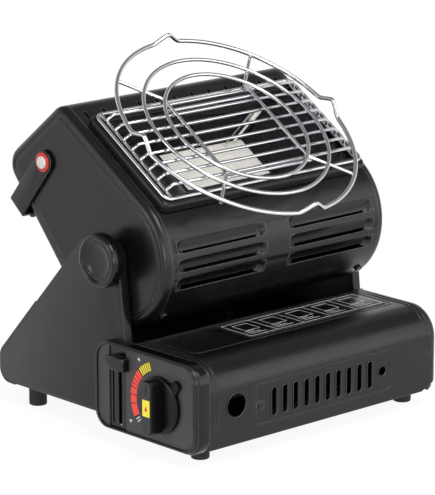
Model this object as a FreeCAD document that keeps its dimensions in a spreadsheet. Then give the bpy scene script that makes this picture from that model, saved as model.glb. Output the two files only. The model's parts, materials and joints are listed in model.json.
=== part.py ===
import FreeCAD, Part
import math
import os
import re
import Sketcher

# Portable gas heater and cooker with a tilting burner head.
# The base frame has X along the heater, Y from the front to the back and Z up from the floor.
# Its zero is the middle of the base, the front face of the cartridge lid and the floor.
# The head frame turns with the head: X as before, Y up along the face plate, Z out of the plate,
# with its zero on the tilt axis. Every piece is then shifted so that the document's origin
# lies under the middle of the whole heater.

Vector = FreeCAD.Vector

# Driving dimensions, in millimetres and degrees
DIMENSIONS = [
    ("steel", 1.0, "thickness of the pressed sheet steel"),
    ("fit", 0.2, "gap between fixed pieces that stand side by side"),
    ("running", 0.08, "radial clearance of a turning or sliding pin"),
    ("tilt", 32.5, "angle of the face plate from level in the photographed pose"),
    ("pivot_back", 120.0, "tilt axis behind the front face of the lid"),
    ("pivot_up", 155.0, "tilt axis above the floor"),
    ("side_half", 138.0, "middle of the base to the outer face of a side bracket"),
    ("base_depth", 266.0, "front face of the lid to the back edge of the side brackets"),
    ("bracket_up", 19.0, "underside of the side brackets above the floor"),
    ("bracket_front", 92.5, "front edge of the brackets at their underside"),
    ("bracket_lean", 16.5, "how far the front edge leans back up to the top"),
    ("bracket_top", 168.0, "top of the brackets above the floor"),
    ("bracket_top_back", 152.0, "back end of the bracket's top"),
    ("bracket_heel_up", 44.6, "height where the sloping back edge turns upright"),
    ("bracket_flange", 8.0, "depth of the inward flange round a bracket"),
    ("bracket_round", 14.0, "corner radius of the brackets"),
    ("cover_drop", 50.0, "upper edge of the back cover in front of the base's back edge"),
    ("cover_top_back", "=base_depth - cover_drop", "upper edge of the back cover behind the lid's face"),
    ("cover_foot", 20.0, "how far the back cover turns in under the base"),
    ("lid_inset", 4.0, "ends of the lid inside the brackets' outer faces"),
    ("lid_half", "=side_half - lid_inset", "half of the lid's length"),
    ("lid_depth", 90.0, "front face to back edge of the lid"),
    ("lid_low", 15.0, "lower edge of the lid above the floor"),
    ("lid_top", 87.3, "top of the lid above the floor"),
    ("lid_nose", 27.0, "radius of the bend along the top front of the lid"),
    ("lid_end_round", 8.0, "radius of the lid's right end"),
    ("lid_cut_along", 22.0, "length of the cut corner at the lid's lower right"),
    ("lid_cut_up", 9.0, "height of the cut corner"),
    ("vent_count", 10, "slots in the lid's front face"),
    ("vent_first", -62.0, "middle of the first slot"),
    ("vent_pitch", 12.45, "slot to slot"),
    ("vent_width", 5.6, "slot width"),
    ("vent_low", 31.0, "lower end of the slots"),
    ("vent_high", 55.5, "upper end of the slots"),
    ("port_along", -104.4, "middle of the big round hole in the lid"),
    ("port_up", 48.5, "height of the big hole"),
    ("port_radius", 10.5, "radius of the big hole"),
    ("peep_along", 65.0, "middle of the small round hole"),
    ("peep_up", 43.6, "height of the small hole"),
    ("peep_radius", 4.5, "radius of the small hole"),
    ("label_left", -52.0, "left end of the label plate on the lid"),
    ("label_inset", 24.0, "right end of the label plate from the lid's end"),
    ("label_right", "=lid_half - label_inset", "right end of the label plate"),
    ("label_front", 39.0, "front edge of the label plate"),
    ("label_back", 82.0, "back edge of the label plate"),
    ("label_thick", 0.5, "thickness of the label plate"),
    ("tray_inset", 1.6, "ends of the cartridge tray inside the lid's ends"),
    ("tray_half", "=lid_half - tray_inset", "half of the cartridge tray's length"),
    ("tray_up", 16.0, "underside of the cartridge tray"),
    ("tray_lip", 10.0, "height of the tray's front and end lips"),
    ("hinge_in", 4.5, "lid hinge axis behind the lid's face"),
    ("hinge_up", 17.0, "lid hinge axis above the floor"),
    ("hinge_pin", 1.5, "radius of the lid's hinge pins"),
    ("hinge_inset", 8.4, "hinge lugs inside the tray's ends"),
    ("hinge_along", "=tray_half - hinge_inset", "hinge lugs from the middle"),
    ("foot_radius", 7.8, "radius of the rubber feet"),
    ("front_foot_inset", 19.0, "front feet inside the brackets' outer faces"),
    ("front_foot_along", "=side_half - front_foot_inset", "front feet from the middle"),
    ("front_foot_back", 28.0, "front feet behind the lid's face"),
    ("rear_foot_inset", 16.5, "rear feet inside the brackets' outer faces"),
    ("rear_foot_along", "=side_half - rear_foot_inset", "rear feet from the middle"),
    ("rear_foot_in", 31.0, "rear feet in front of the base's back edge"),
    ("rear_foot_back", "=base_depth - rear_foot_in", "rear feet behind the lid's face"),
    ("screw_radius", 2.0, "shank radius of the small screws"),
    ("screw_head", 3.6, "head radius of the small screws"),
    ("bezel_proud", 12.5, "rim of the control bezel outside the left bracket"),
    ("bezel_face", "=side_half + bezel_proud", "middle of the base to the rim of the bezel"),
    ("bezel_front", 5.0, "bezel in front of the lid's face"),
    ("bezel_back", 125.0, "back edge of the bezel"),
    ("bezel_low", 12.6, "underside of the bezel"),
    ("bezel_top", 88.7, "top of the bezel"),
    ("bezel_round", 16.0, "corner radius of the bezel"),
    ("bezel_rim", 3.0, "width of the rim above, below and behind the panel"),
    ("bezel_brow", 9.0, "width of the rim in front of the panel"),
    ("bezel_sink", 2.0, "panel below the rim"),
    ("bezel_wall", 2.5, "moulded wall thickness"),
    ("knob_back", 43.0, "gas knob axis behind the lid's face"),
    ("knob_up", 48.3, "gas knob axis above the floor"),
    ("knob_radius", 24.2, "radius of the gas knob's disc"),
    ("knob_disc", 4.7, "thickness of the gas knob's disc"),
    ("knob_proud", 14.5, "top of the knob's grip outside the bezel's rim"),
    ("knob_face", "=bezel_face + knob_proud", "middle of the base to the top of the grip"),
    ("mark_thick", 0.4, "thickness of the inlay on the grip"),
    ("mark_width", 8.6, "width of the inlay on the grip"),
    ("mark_height", 14.0, "height of the inlay on the grip"),
    ("knob_grip", 12.5, "width of the knob's grip"),
    ("spindle_radius", 4.0, "radius of the valve spindle"),
    ("lever_back", 95.5, "wide lever slot behind the lid's face"),
    ("lever_slot", 4.6, "width of the lever slot"),
    ("lever_low", 18.0, "lower end of the lever slot"),
    ("lever_high", 78.0, "upper end of the lever slot"),
    ("lever_travel", 40.0, "travel of the cartridge lock lever"),
    ("lever_spare", 1.9, "gap left below the lever's slide at the end of its travel"),
    ("lock_low", 31.0, "underside of the lock plate's link"),
    ("lock_travel", 4.0, "travel of the lock plate along the cartridge"),
    ("lock_lane", 82.0, "back edge of the lock plate's link behind the lid's face"),
    ("plate_gap", 1.7, "back edge of the valve plate in front of the brackets"),
    ("cartridge_up", 50.5, "cartridge axis above the floor"),
    ("cartridge_radius", 33.0, "radius of a standard cartridge"),
    ("collar_radius", 17.0, "radius of the valve's collar seat"),
    ("valve_reach", 34.0, "right end of the valve body inside the left bracket"),
    ("valve_end", "=side_half - valve_reach", "right end of the valve body from the middle"),
    ("valve_half", 17.0, "half width of the valve body"),
    ("regulator_inset", 14.0, "regulator and gas pipe inside the left bracket"),
    ("regulator_along", "=side_half - regulator_inset", "regulator and gas pipe from the middle"),
    ("regulator_radius", 11.0, "radius of the regulator"),
    ("regulator_depth", 11.0, "how far the regulator stands behind the valve body"),
    ("piezo_radius", 7.5, "radius of the piezo igniter"),
    ("pipe_radius", 2.5, "outer radius of the gas pipes"),
    ("pipe_inset", 4.4, "gas pipe beside the head, inside the left bracket"),
    ("pipe_lane", "=side_half - pipe_inset", "gas pipe beside the head, from the middle"),
    ("pivot_radius", 3.0, "radius of the tilt studs"),
    ("washer_radius", 9.6, "radius of the friction washers"),
    ("tilt_knob_radius", 23.2, "radius of the tilt knobs"),
    ("tilt_knob_proud", 14.0, "face of a tilt knob outside its bracket"),
    ("tilt_knob_face", "=side_half + tilt_knob_proud", "middle of the base to the face of a tilt knob"),
    ("tilt_knob_thick", 12.0, "thickness of a tilt knob's rim"),
    ("head_gap", 10.0, "ends of the head inside the brackets' outer faces"),
    ("head_half", "=side_half - head_gap", "half of the head's width"),
    ("cap_depth", 8.0, "depth of the head's pressed end caps"),
    ("cap_round", 6.0, "edge radius of the end caps"),
    ("drum_radius", 60.0, "radius of the head's round front"),
    ("brow_along", 127.0, "upper corner of the face plate from the tilt axis"),
    ("brow_round", 14.0, "radius of that corner"),
    ("rump_along", 157.6, "rear corner of the head along the plate"),
    ("rump_drop", 31.0, "rear corner of the head below the tilt axis"),
    ("rump_round", 18.0, "radius of the rear corner"),
    ("heel_radius", 90.0, "radius of the head's underside"),
    ("heel_angle", 228.3, "where the drum meets the underside"),
    ("bolt_radius", 1.5, "shank radius of the bolts in the drum"),
    ("bolt_angle", 195.0, "bolts in the drum, round the tilt axis"),
    ("louvre_start", 13.0, "inner end of a louvre from the heater's middle"),
    ("louvre_inset", 14.0, "outer end of a louvre inside the head's end"),
    ("louvre_length", "=head_half - louvre_start - louvre_inset", "length of a louvre"),
    ("louvre_offset", "=louvre_start + louvre_length / 2", "middle of a louvre from the heater's middle"),
    ("louvre_angle", 147.5, "middle louvre, round the tilt axis"),
    ("louvre_pitch", 15.5, "louvre to louvre, in degrees"),
    ("louvre_sink", 4.2, "how deep a louvre's lower edge is pressed into the drum"),
    ("louvre_half", 5.5, "half of the louvre's height round the drum"),
    ("louvre_gap", 1.8, "slot left open below the pressed edge"),
    ("louvre_sheet", 0.8, "thickness of the pressed sheet"),
    ("slit_count", 12, "slots along the top of the face plate"),
    ("slit_inset", 18.0, "outermost slots inside the head's ends"),
    ("slit_pitch", "=2 * (head_half - slit_inset) / (slit_count - 1)", "slot to slot"),
    ("slit_along", 108.0, "slots from the tilt axis"),
    ("slit_length", 9.0, "slot length"),
    ("slit_width", 3.2, "slot width"),
    ("burner_along", 46.4, "middle of the burner up the face plate"),
    ("surround_inset", 11.0, "ends of the raised surround inside the head's ends"),
    ("surround_half", "=head_half - surround_inset", "half of the raised surround's length"),
    ("surround_low", -14.0, "lower edge of the surround"),
    ("surround_high", 100.0, "upper edge of the surround"),
    ("surround_rise", 8.0, "height of the surround above the plate"),
    ("surround_rim", 10.0, "width of the surround's top"),
    ("dish_half", 51.0, "half length of the reflector's floor opening and frame"),
    ("dish_width", 51.0, "width of that frame"),
    ("plaque_half", 50.0, "half length of the ceramic plaque"),
    ("plaque_width", 49.0, "width of the plaque"),
    ("plaque_thick", 12.0, "thickness of the plaque"),
    ("plaque_up", 36.0, "face of the plaque above the tilt axis"),
    ("burner_floor", 8.0, "underside of the burner box above the tilt axis"),
    ("burner_wall", 1.2, "wall of the burner box"),
    ("mixer_radius", 10.0, "radius of the mixing tube"),
    ("mixer_drop", 6.0, "mixing tube axis below the tilt axis"),
    ("mixer_inset", 38.0, "open end of the mixing tube inside the head's end"),
    ("mixer_mouth", "=head_half - mixer_inset", "open end of the mixing tube from the middle"),
    ("shield_drop", 24.0, "heat shield below the tilt axis"),
    ("wire_radius", 1.5, "radius of the grille wires"),
    ("bar_count", 8, "bars of the grille"),
    ("bar_first", -0.5, "lowest bar up the face plate"),
    ("bar_pitch", 12.5, "bar to bar"),
    ("bar_up", 77.7, "bars above the tilt axis"),
    ("side_wire_up", 69.7, "frame wires above the tilt axis"),
    ("side_wire_inset", 9.5, "side wires inside the surround's ends"),
    ("side_wire", "=surround_half - side_wire_inset", "side wires from the middle"),
    ("frame_inset", 4.0, "frame wire inside the surround's ends"),
    ("frame_half", "=surround_half - frame_inset", "half of the frame wire's length"),
    ("frame_low", -9.0, "lower run of the frame wire"),
    ("frame_high", 97.0, "upper run of the frame wire"),
    ("ring_along", 44.0, "middle of the pot rings up the face plate"),
    ("outer_ring", 109.0, "radius of the outer pot ring"),
    ("middle_ring", 84.6, "radius of the middle pot ring"),
    ("inner_ring", 65.5, "radius of the inner pot ring"),
    ("ring_wire", 1.9, "wire radius of the outer ring"),
    ("thin_ring_wire", 1.7, "wire radius of the two small rings"),
    ("arm_wire", 1.6, "wire radius of the long wires and their arms"),
    ("arm_across", 47.0, "long wires from the middle"),
    ("arm_bend", 5.0, "bend where a slanting arm leaves its long wire"),
    ("cross_wire", 1.5, "wire radius of the two cross wires"),
    ("cross_low", -5.4, "lower cross wire up the face plate"),
    ("cross_high", 79.2, "upper cross wire up the face plate"),
    ("stud_wire", 1.3, "radius of the studs between the grille bars"),
    ("rest_gap", 0.3, "gap where a loose wire lies on another"),
    ("weld", 0.4, "depth to which crossing wires are welded"),
    ("kink_rise", 9.0, "height of the raised kinks in the outer ring"),
    ("kink_half", 7.0, "half width of a kink, in degrees"),
    ("handle_along", 113.0, "handle pivot up the face plate"),
    ("handle_up", 6.0, "handle pivot above the tilt axis"),
    ("handle_reach", 59.5, "handle pivot to the middle of the grip"),
    ("handle_angle", 7.0, "how far the hanging handle leans back from square"),
    ("strap_width", 20.0, "width of the handle's arms"),
    ("strap_thick", 3.0, "thickness of the handle's arms"),
    ("grip_inset", 10.0, "ends of the grip inside the head's ends"),
    ("grip_half", "=head_half - grip_inset", "half of the grip's length"),
    ("grip_thick", 11.0, "thickness of the grip"),
    ("grip_width", 19.0, "width of the grip"),
    ("handle_screw", 2.5, "radius of the handle's pivot screws"),
    ("rod_radius", 2.2, "radius of the electrode's ceramic sleeve"),
    ("probe_radius", 1.5, "radius of the flame probe's sleeve"),
    ("probe_beside", 9.0, "flame probe beside the electrode"),
    ("electrode_from_end", 21.0, "where the electrode enters the reflector, inside the surround's end"),
    ("electrode_out", "=surround_half - electrode_from_end", "that place from the heater's middle"),
    ("electrode_in", 5.8, "that place inside the surround's upper edge"),
    ("electrode_over", 16.0, "how far the electrode's tip reaches over the plaque"),
    ("electrode_tip", "=plaque_half - electrode_over", "middle to the tip of the electrode"),
    ("electrode_tip_up", 64.4, "tip of the electrode up the face plate"),
    ("electrode_gap", 4.5, "tip of the electrode over the plaque"),
    ("clip_before", 19.0, "left end of the clip from where the electrode enters"),
    ("clip_left", "=electrode_out - clip_before", "left end of the clip that holds the electrode"),
    ("clip_after", 3.5, "right end of the clip from where the electrode enters"),
    ("clip_right", "=electrode_out + clip_after", "right end of that clip"),
    ("clip_drop", 10.0, "depth of the clip"),
    ("clip_thick", 1.5, "thickness of the clip"),
]
NAMES = {name for name, value, meaning in DIMENSIONS}
SHIFT_ACROSS = "(knob_face + mark_thick - tilt_knob_face) / 2"
SHIFT_BACK = "-(base_depth + steel - bezel_front) / 2"

doc = FreeCAD.newDocument("heater")
sheet = doc.addObject("Spreadsheet::Sheet", "Dims")
for row, (name, value, meaning) in enumerate(DIMENSIONS, start=1):
    sheet.set("A%d" % row, meaning)
    sheet.setAlias("B%d" % row, name)
    sheet.set("B%d" % row, str(value))
doc.recompute()

PIECES = []


def bound(text):
    """Points every dimension named in a formula at its cell in the sheet."""
    return re.sub(r"[a-z_]+", lambda word: ("Dims." if word.group() in NAMES else "") + word.group(), text)


def size(text):
    """The present value of a formula."""
    return float(sheet.evalExpression(bound(text)))


# Ways of making a piece


def keep(piece, label):
    piece.Label = label
    PIECES.append(piece)
    return piece


def new_body(label):
    return keep(doc.addObject("PartDesign::Body", label), label)


def new_sketch(piece, role, offset="0"):
    """A sketch on one of the piece's own origin planes, moved along its normal by a formula."""
    plane = [feature for feature in piece.Origin.OriginFeatures if feature.Role == role][0]
    drawing = piece.newObject("Sketcher::SketchObject", piece.Label + "_sketch")
    drawing.AttachmentSupport = [(plane, "")]
    drawing.MapMode = "FlatFace"
    drawing.setExpression("AttachmentOffset.Base.z", bound(offset))
    return drawing


def fix_point(drawing, edge, point, across, up):
    """Ties one point of a sketch edge to two formulas."""
    index = drawing.addConstraint(Sketcher.Constraint("DistanceX", -1, 1, edge, point, size(across)))
    drawing.setExpression("Constraints[%d]" % index, bound(across))
    index = drawing.addConstraint(Sketcher.Constraint("DistanceY", -1, 1, edge, point, size(up)))
    drawing.setExpression("Constraints[%d]" % index, bound(up))


def outline(drawing, corners):
    """A closed outline of straight edges through corners given as pairs of formulas."""
    places = [Vector(size(across), size(up), 0) for across, up in corners]
    first = drawing.GeometryCount
    count = len(corners)
    for number in range(count):
        drawing.addGeometry(Part.LineSegment(places[number], places[(number + 1) % count]), False)
    for number in range(count):
        following = first + (number + 1) % count
        drawing.addConstraint(Sketcher.Constraint("Coincident", first + number, 2, following, 1))
    for number, (across, up) in enumerate(corners):
        fix_point(drawing, first + number, 1, across, up)


def rectangle(drawing, left, low, right, high):
    outline(drawing, [(left, low), (right, low), (right, high), (left, high)])


def circle(drawing, across, up, radius):
    middle = Vector(size(across), size(up), 0)
    edge = drawing.addGeometry(Part.Circle(middle, Vector(0, 0, 1), size(radius)), False)
    fix_point(drawing, edge, 3, across, up)
    index = drawing.addConstraint(Sketcher.Constraint("Radius", edge, size(radius)))
    drawing.setExpression("Constraints[%d]" % index, bound(radius))


def slot(drawing, across, low, high, width):
    """An upright slot with round ends, from the lowest to the highest point."""
    left = "%s - (%s) / 2" % (across, width)
    right = "%s + (%s) / 2" % (across, width)
    bottom = "%s + (%s) / 2" % (low, width)
    top = "%s - (%s) / 2" % (high, width)
    corner = {name: Vector(size(a), size(b), 0) for name, a, b in (
        ("a", left, bottom), ("b", left, top), ("c", right, top), ("d", right, bottom))}
    first = drawing.GeometryCount
    drawing.addGeometry(Part.LineSegment(corner["a"], corner["b"]), False)
    drawing.addGeometry(Part.Arc(corner["b"], Vector(size(across), size(high), 0), corner["c"]), False)
    drawing.addGeometry(Part.LineSegment(corner["c"], corner["d"]), False)
    drawing.addGeometry(Part.Arc(corner["d"], Vector(size(across), size(low), 0), corner["a"]), False)
    drawing.addConstraint(Sketcher.Constraint("Coincident", first, 2, first + 1, 2))
    drawing.addConstraint(Sketcher.Constraint("Coincident", first + 1, 1, first + 2, 1))
    drawing.addConstraint(Sketcher.Constraint("Coincident", first + 2, 2, first + 3, 2))
    drawing.addConstraint(Sketcher.Constraint("Coincident", first + 3, 1, first, 1))
    fix_point(drawing, first, 1, left, bottom)
    fix_point(drawing, first, 2, left, top)
    fix_point(drawing, first + 2, 1, right, top)
    fix_point(drawing, first + 2, 2, right, bottom)
    for edge, height in ((first + 1, top), (first + 3, bottom)):
        index = drawing.addConstraint(Sketcher.Constraint("DistanceY", -1, 1, edge, 3, size(height)))
        drawing.setExpression("Constraints[%d]" % index, bound(height))


def rounded_rectangle(drawing, left, low, right, high, radius):
    """A rectangle whose corners are quarter circles."""
    inner_left, inner_right = "%s + (%s)" % (left, radius), "%s - (%s)" % (right, radius)
    inner_low, inner_high = "%s + (%s)" % (low, radius), "%s - (%s)" % (high, radius)
    sides = [((inner_left, low), (inner_right, low)), ((right, inner_low), (right, inner_high)),
             ((inner_right, high), (inner_left, high)), ((left, inner_high), (left, inner_low))]
    centres = [(inner_right, inner_low), (inner_right, inner_high),
               (inner_left, inner_high), (inner_left, inner_low)]
    places = [[Vector(size(across), size(up), 0) for across, up in side] for side in sides]
    first = drawing.GeometryCount
    for number, (centre_across, centre_up) in enumerate(centres):
        start, end = places[number][1], places[(number + 1) % 4][0]
        centre = Vector(size(centre_across), size(centre_up), 0)
        outward = ((start + end) / 2 - centre).normalize()
        drawing.addGeometry(Part.LineSegment(*places[number]), False)
        drawing.addGeometry(Part.Arc(start, centre + outward * size(radius), end), False)
    for number, (start, end) in enumerate(sides):
        line = first + 2 * number
        fix_point(drawing, line, 1, *start)
        fix_point(drawing, line, 2, *end)
        drawing.addConstraint(Sketcher.Constraint("Coincident", line, 2, line + 1, 1))
        following = first + (2 * number + 2) % 8
        drawing.addConstraint(Sketcher.Constraint("Coincident", line + 1, 2, following, 1))
        rise = Sketcher.Constraint("DistanceY", -1, 1, line + 1, 3, size(centres[number][1]))
        index = drawing.addConstraint(rise)
        drawing.setExpression("Constraints[%d]" % index, bound(centres[number][1]))


def pad(piece, drawing, length, backwards=False):
    feature = piece.newObject("PartDesign::Pad", piece.Label + "_pad")
    feature.Profile = drawing
    feature.setExpression("Length", bound(length))
    feature.Reversed = backwards
    doc.recompute()
    return feature


def pocket(piece, drawing, depth, along_normal=False):
    """Cuts a sketch into the piece, against the sketch's normal unless it is told otherwise."""
    before = piece.Shape.Volume
    feature = piece.newObject("PartDesign::Pocket", piece.Label + "_pocket")
    feature.Profile = drawing
    feature.setExpression("Length", bound(depth))
    feature.Reversed = along_normal
    doc.recompute()
    if piece.Shape.Volume > before - 1e-6:
        raise ValueError(piece.Label + ": a pocket cut nothing")
    return feature


def revolve(piece, drawing, role="X_Axis"):
    axis = [feature for feature in piece.Origin.OriginFeatures if feature.Role == role][0]
    feature = piece.newObject("PartDesign::Revolution", piece.Label + "_turned")
    feature.Profile = drawing
    feature.ReferenceAxis = (axis, [""])
    feature.Angle = 360
    doc.recompute()
    return feature


def fillet(piece, radius, chosen):
    """Rounds the edges of the piece's last feature that the given test picks."""
    base = piece.Tip
    names = ["Edge%d" % number for number, edge in enumerate(base.Shape.Edges, start=1) if chosen(edge)]
    if not names:
        raise ValueError(piece.Label + ": no edge to round")
    feature = piece.newObject("PartDesign::Fillet", piece.Label + "_round")
    feature.Base = (base, names)
    feature.setExpression("Radius", bound(radius))
    doc.recompute()
    return feature


def hollow_out(piece, wall, chosen):
    """Leaves a sheet of the given thickness, open where the test picks a face."""
    base = piece.Tip
    names = ["Face%d" % number for number, face in enumerate(base.Shape.Faces, start=1) if chosen(face)]
    feature = piece.newObject("PartDesign::Thickness", piece.Label + "_sheet")
    feature.Base = (base, names)
    feature.setExpression("Value", bound(wall))
    feature.Join = 1
    doc.recompute()
    return feature


def along(edge, axis):
    """True for a straight edge that runs along X, Y or Z."""
    box = edge.BoundBox
    spans = {"X": box.XLength, "Y": box.YLength, "Z": box.ZLength}
    others = [span for name, span in spans.items() if name != axis]
    return spans[axis] > 1e-3 and max(others) < 1e-3


def near(value, formula):
    return abs(value - size(formula)) < 1e-3


def feature_from(label, shape):
    """A piece whose shape is worked out here from the same dimensions."""
    piece = doc.addObject("Part::Feature", label)
    piece.Shape = shape
    return keep(piece, label)


def rod(label, radius, length):
    """A round bar along X, from its own zero."""
    piece = doc.addObject("Part::Cylinder", label)
    piece.setExpression("Radius", bound(radius))
    piece.setExpression("Height", bound(length))
    piece.Placement = FreeCAD.Placement(Vector(0, 0, 0), FreeCAD.Rotation(Vector(0, 1, 0), 90))
    return keep(piece, label)


def block(label, length, width, height):
    piece = doc.addObject("Part::Box", label)
    piece.setExpression("Length", bound(length))
    piece.setExpression("Width", bound(width))
    piece.setExpression("Height", bound(height))
    return keep(piece, label)


# Where a piece goes


def put(piece, across, back, up):
    """Moves a piece's zero to a place in the base frame."""
    piece.setExpression("Placement.Base.x", bound("%s + %s" % (SHIFT_ACROSS, across)))
    piece.setExpression("Placement.Base.y", bound("%s + %s" % (SHIFT_BACK, back)))
    piece.setExpression("Placement.Base.z", bound(up))


def in_base(piece):
    put(piece, "0", "0", "0")


def in_head(piece, across="0", up_plate="0", out="0", extra="0", axis=None):
    """Moves a piece's zero to a place in the head frame and turns it with the head."""
    piece.Placement = FreeCAD.Placement(Vector(0, 0, 0), FreeCAD.Rotation(Vector(1, 0, 0), 10))
    piece.setExpression("Placement.Rotation.Angle", bound("tilt + %s" % extra))
    back = "pivot_back + (%s) * cos(tilt) - (%s) * sin(tilt)" % (up_plate, out)
    up = "pivot_up + (%s) * sin(tilt) + (%s) * cos(tilt)" % (up_plate, out)
    put(piece, across, back, up)


# Shapes that follow a path or a rounded outline


def bend(before, corner, after, radius):
    """The start, middle and end of the arc that rounds a corner."""
    back = (before - corner).normalize()
    ahead = (after - corner).normalize()
    half = back.getAngle(ahead) / 2
    reach = radius / math.tan(half)
    middle = (back + ahead).normalize()
    centre = corner + middle * (radius / math.sin(half))
    return corner + back * reach, centre - middle * radius, corner + ahead * reach


def rounded_edges(points, radii, closed=True):
    """Straight edges between points, with each corner rounded to its radius."""
    count = len(points)
    arcs = []
    for number in range(count):
        ends = not closed and number in (0, count - 1)
        if ends or radii[number] == 0:
            arcs.append((points[number], None, points[number]))
        else:
            following = points[(number + 1) % count]
            arcs.append(bend(points[number - 1], points[number], following, radii[number]))
    edges = []
    for number in range(count):
        start, middle, end = arcs[number]
        if middle is not None:
            edges.append(Part.Arc(start, middle, end).toShape())
        last = number == count - 1
        if closed or not last:
            target = arcs[(number + 1) % count][0]
            if (target - end).Length > 1e-6:
                edges.append(Part.LineSegment(end, target).toShape())
    return edges


def tube(edges, radius):
    """A round wire or pipe along joined edges."""
    path = Part.Wire(edges)
    start = edges[0].valueAt(edges[0].FirstParameter)
    heading = edges[0].tangentAt(edges[0].FirstParameter)
    section = Part.Wire(Part.makeCircle(radius, start, heading))
    shape = path.makePipeShell([section], True, False, 2)
    expected = path.Length * math.pi * radius ** 2
    if abs(shape.Volume - expected) > 0.05 * expected:
        raise ValueError("a wire's volume is %.0f, not %.0f" % (shape.Volume, expected))
    return shape


def bent_wire(points, corner_radius, radius):
    radii = [corner_radius] * len(points)
    return tube(rounded_edges([Vector(*point) for point in points], radii, closed=False), radius)


def side_face(points, radii, across):
    """A flat face in an upright plane at X = across, from (Y, Z) corners."""
    corners = [Vector(across, y, z) for y, z in points]
    return Part.Face(Part.Wire(rounded_edges(corners, radii)))


def inset(points, distance):
    """The corners of an outline moved inwards by a sheet's thickness; the corners run clockwise."""
    moved = []
    count = len(points)
    for number in range(count):
        lines = []
        for first, second in ((number - 1, number), (number, (number + 1) % count)):
            (ya, za), (yb, zb) = points[first], points[second]
            length = math.hypot(yb - ya, zb - za)
            normal = ((zb - za) / length, -(yb - ya) / length)
            lines.append((normal, normal[0] * ya + normal[1] * za + distance))
        (n1, d1), (n2, d2) = lines
        determinant = n1[0] * n2[1] - n1[1] * n2[0]
        y = (d1 * n2[1] - d2 * n1[1]) / determinant
        z = (n1[0] * d2 - n2[0] * d1) / determinant
        moved.append((y, z))
    return moved


def box_at(low, high):
    return Part.makeBox(high[0] - low[0], high[1] - low[1], high[2] - low[2], Vector(*low))


def cylinder_along(axis, radius, start, length):
    return Part.makeCylinder(radius, length, Vector(*start), Vector(*axis))


# Base: tray, pan, brackets and back cover


def cartridge_tray():
    """Floor of the cartridge bay with its back wall, lips and hinge lugs."""
    piece = new_body("cartridge_tray")
    floor = new_sketch(piece, "XY_Plane", "tray_up")
    rectangle(floor, "-tray_half", "steel + 1", "tray_half", "lid_depth + 2 * steel")
    pad(piece, floor, "steel")
    wall = new_sketch(piece, "XY_Plane", "tray_up")
    rectangle(wall, "-tray_half", "lid_depth + steel", "tray_half", "lid_depth + 2 * steel")
    pad(piece, wall, "lid_top - steel - tray_up")
    lip = new_sketch(piece, "XY_Plane", "tray_up")
    rectangle(lip, "-tray_half", "steel + 1", "tray_half", "2 * steel + 1")
    pad(piece, lip, "tray_lip")
    end = new_sketch(piece, "XY_Plane", "tray_up")
    rectangle(end, "tray_half - steel", "steel + 1", "tray_half", "lid_depth + 2 * steel")
    pad(piece, end, "tray_lip")
    fillet(piece, "lid_end_round - 1", lambda edge: along(edge, "Z")
           and near(edge.BoundBox.XMin, "tray_half") and near(edge.BoundBox.YMin, "steel + 1"))
    fillet(piece, "lid_end_round - 1 - steel", lambda edge: along(edge, "Z")
           and near(edge.BoundBox.XMin, "tray_half - steel") and near(edge.BoundBox.YMin, "2 * steel + 1"))
    for side in ("-", ""):
        lug = new_sketch(piece, "YZ_Plane", side + "hinge_along")
        circle(lug, "hinge_in", "hinge_up", "2 * hinge_pin")
        pad(piece, lug, "2 * steel", backwards=side == "-")
        hole = new_sketch(piece, "YZ_Plane", side + "(hinge_along + 4 * steel)")
        circle(hole, "hinge_in", "hinge_up", "hinge_pin")
        pocket(piece, hole, "5 * steel", along_normal=side == "-")
    notches = new_sketch(piece, "XY_Plane", "tray_up - 2 * hinge_pin")
    for side in ("-", ""):
        rectangle(notches, side + "(hinge_along - 4 * steel)", "0",
                  side + "(hinge_along - 0.8 * steel)", "hinge_in + 4.4 * hinge_pin")
    pocket(piece, notches, "tray_lip + 4 * hinge_pin", along_normal=True)
    passage = new_sketch(piece, "XZ_Plane", "-lid_depth - 4 * steel")
    circle(passage, "-regulator_along", "cartridge_up", "pipe_radius + 2")
    pocket(piece, passage, "8 * steel", along_normal=True)
    in_base(piece)


def base_pan():
    piece = new_body("base_pan")
    floor = new_sketch(piece, "XY_Plane", "bracket_up + steel")
    left = "-(side_half - steel - fit)"
    right = "side_half - steel - fit"
    rectangle(floor, left, "bracket_front + 4 * steel", right, "base_depth - bracket_round - fit")
    pad(piece, floor, "steel")
    bead = new_sketch(piece, "XY_Plane", "bracket_up + 2 * steel")
    rectangle(bead, "-side_half / 2", "bracket_front + 30", "side_half / 2", "base_depth - 45")
    pad(piece, bead, "steel")
    fillet(piece, "12", lambda edge: along(edge, "Z") and abs(edge.BoundBox.XMax) < size("side_half") * 0.6)
    in_base(piece)


def bracket_corners():
    """The bracket's outline, clockwise from the lower front corner."""
    front = size("bracket_front")
    return [
        (front, size("bracket_up")),
        (front + size("bracket_lean"), size("bracket_top")),
        (size("bracket_top_back"), size("bracket_top")),
        (size("base_depth"), size("bracket_heel_up")),
        (size("base_depth"), size("bracket_up")),
    ]


def side_bracket(label, side):
    """A pressed side plate with an inward flange all round and the hole for the tilt stud."""
    steel = size("steel")
    corners = bracket_corners()
    radii = [3, 9, size("bracket_round"), size("bracket_round"), size("bracket_round")]
    outer = side_face(corners, radii, 0)
    inner = side_face(inset(corners, steel), [radius - steel for radius in radii], 0)
    flange = size("bracket_flange")
    shape = outer.extrude(Vector(-side * flange, 0, 0))
    hollow = inner.extrude(Vector(-side * flange, 0, 0))
    hollow.translate(Vector(-side * steel, 0, 0))
    hole = cylinder_along((1, 0, 0), size("pivot_radius + running"),
                          (-20, size("pivot_back"), size("pivot_up")), 40)
    piece = feature_from(label, shape.cut(hollow).cut(hole))
    in_base(piece)
    put(piece, ("" if side > 0 else "-") + "side_half", "0", "0")


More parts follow.
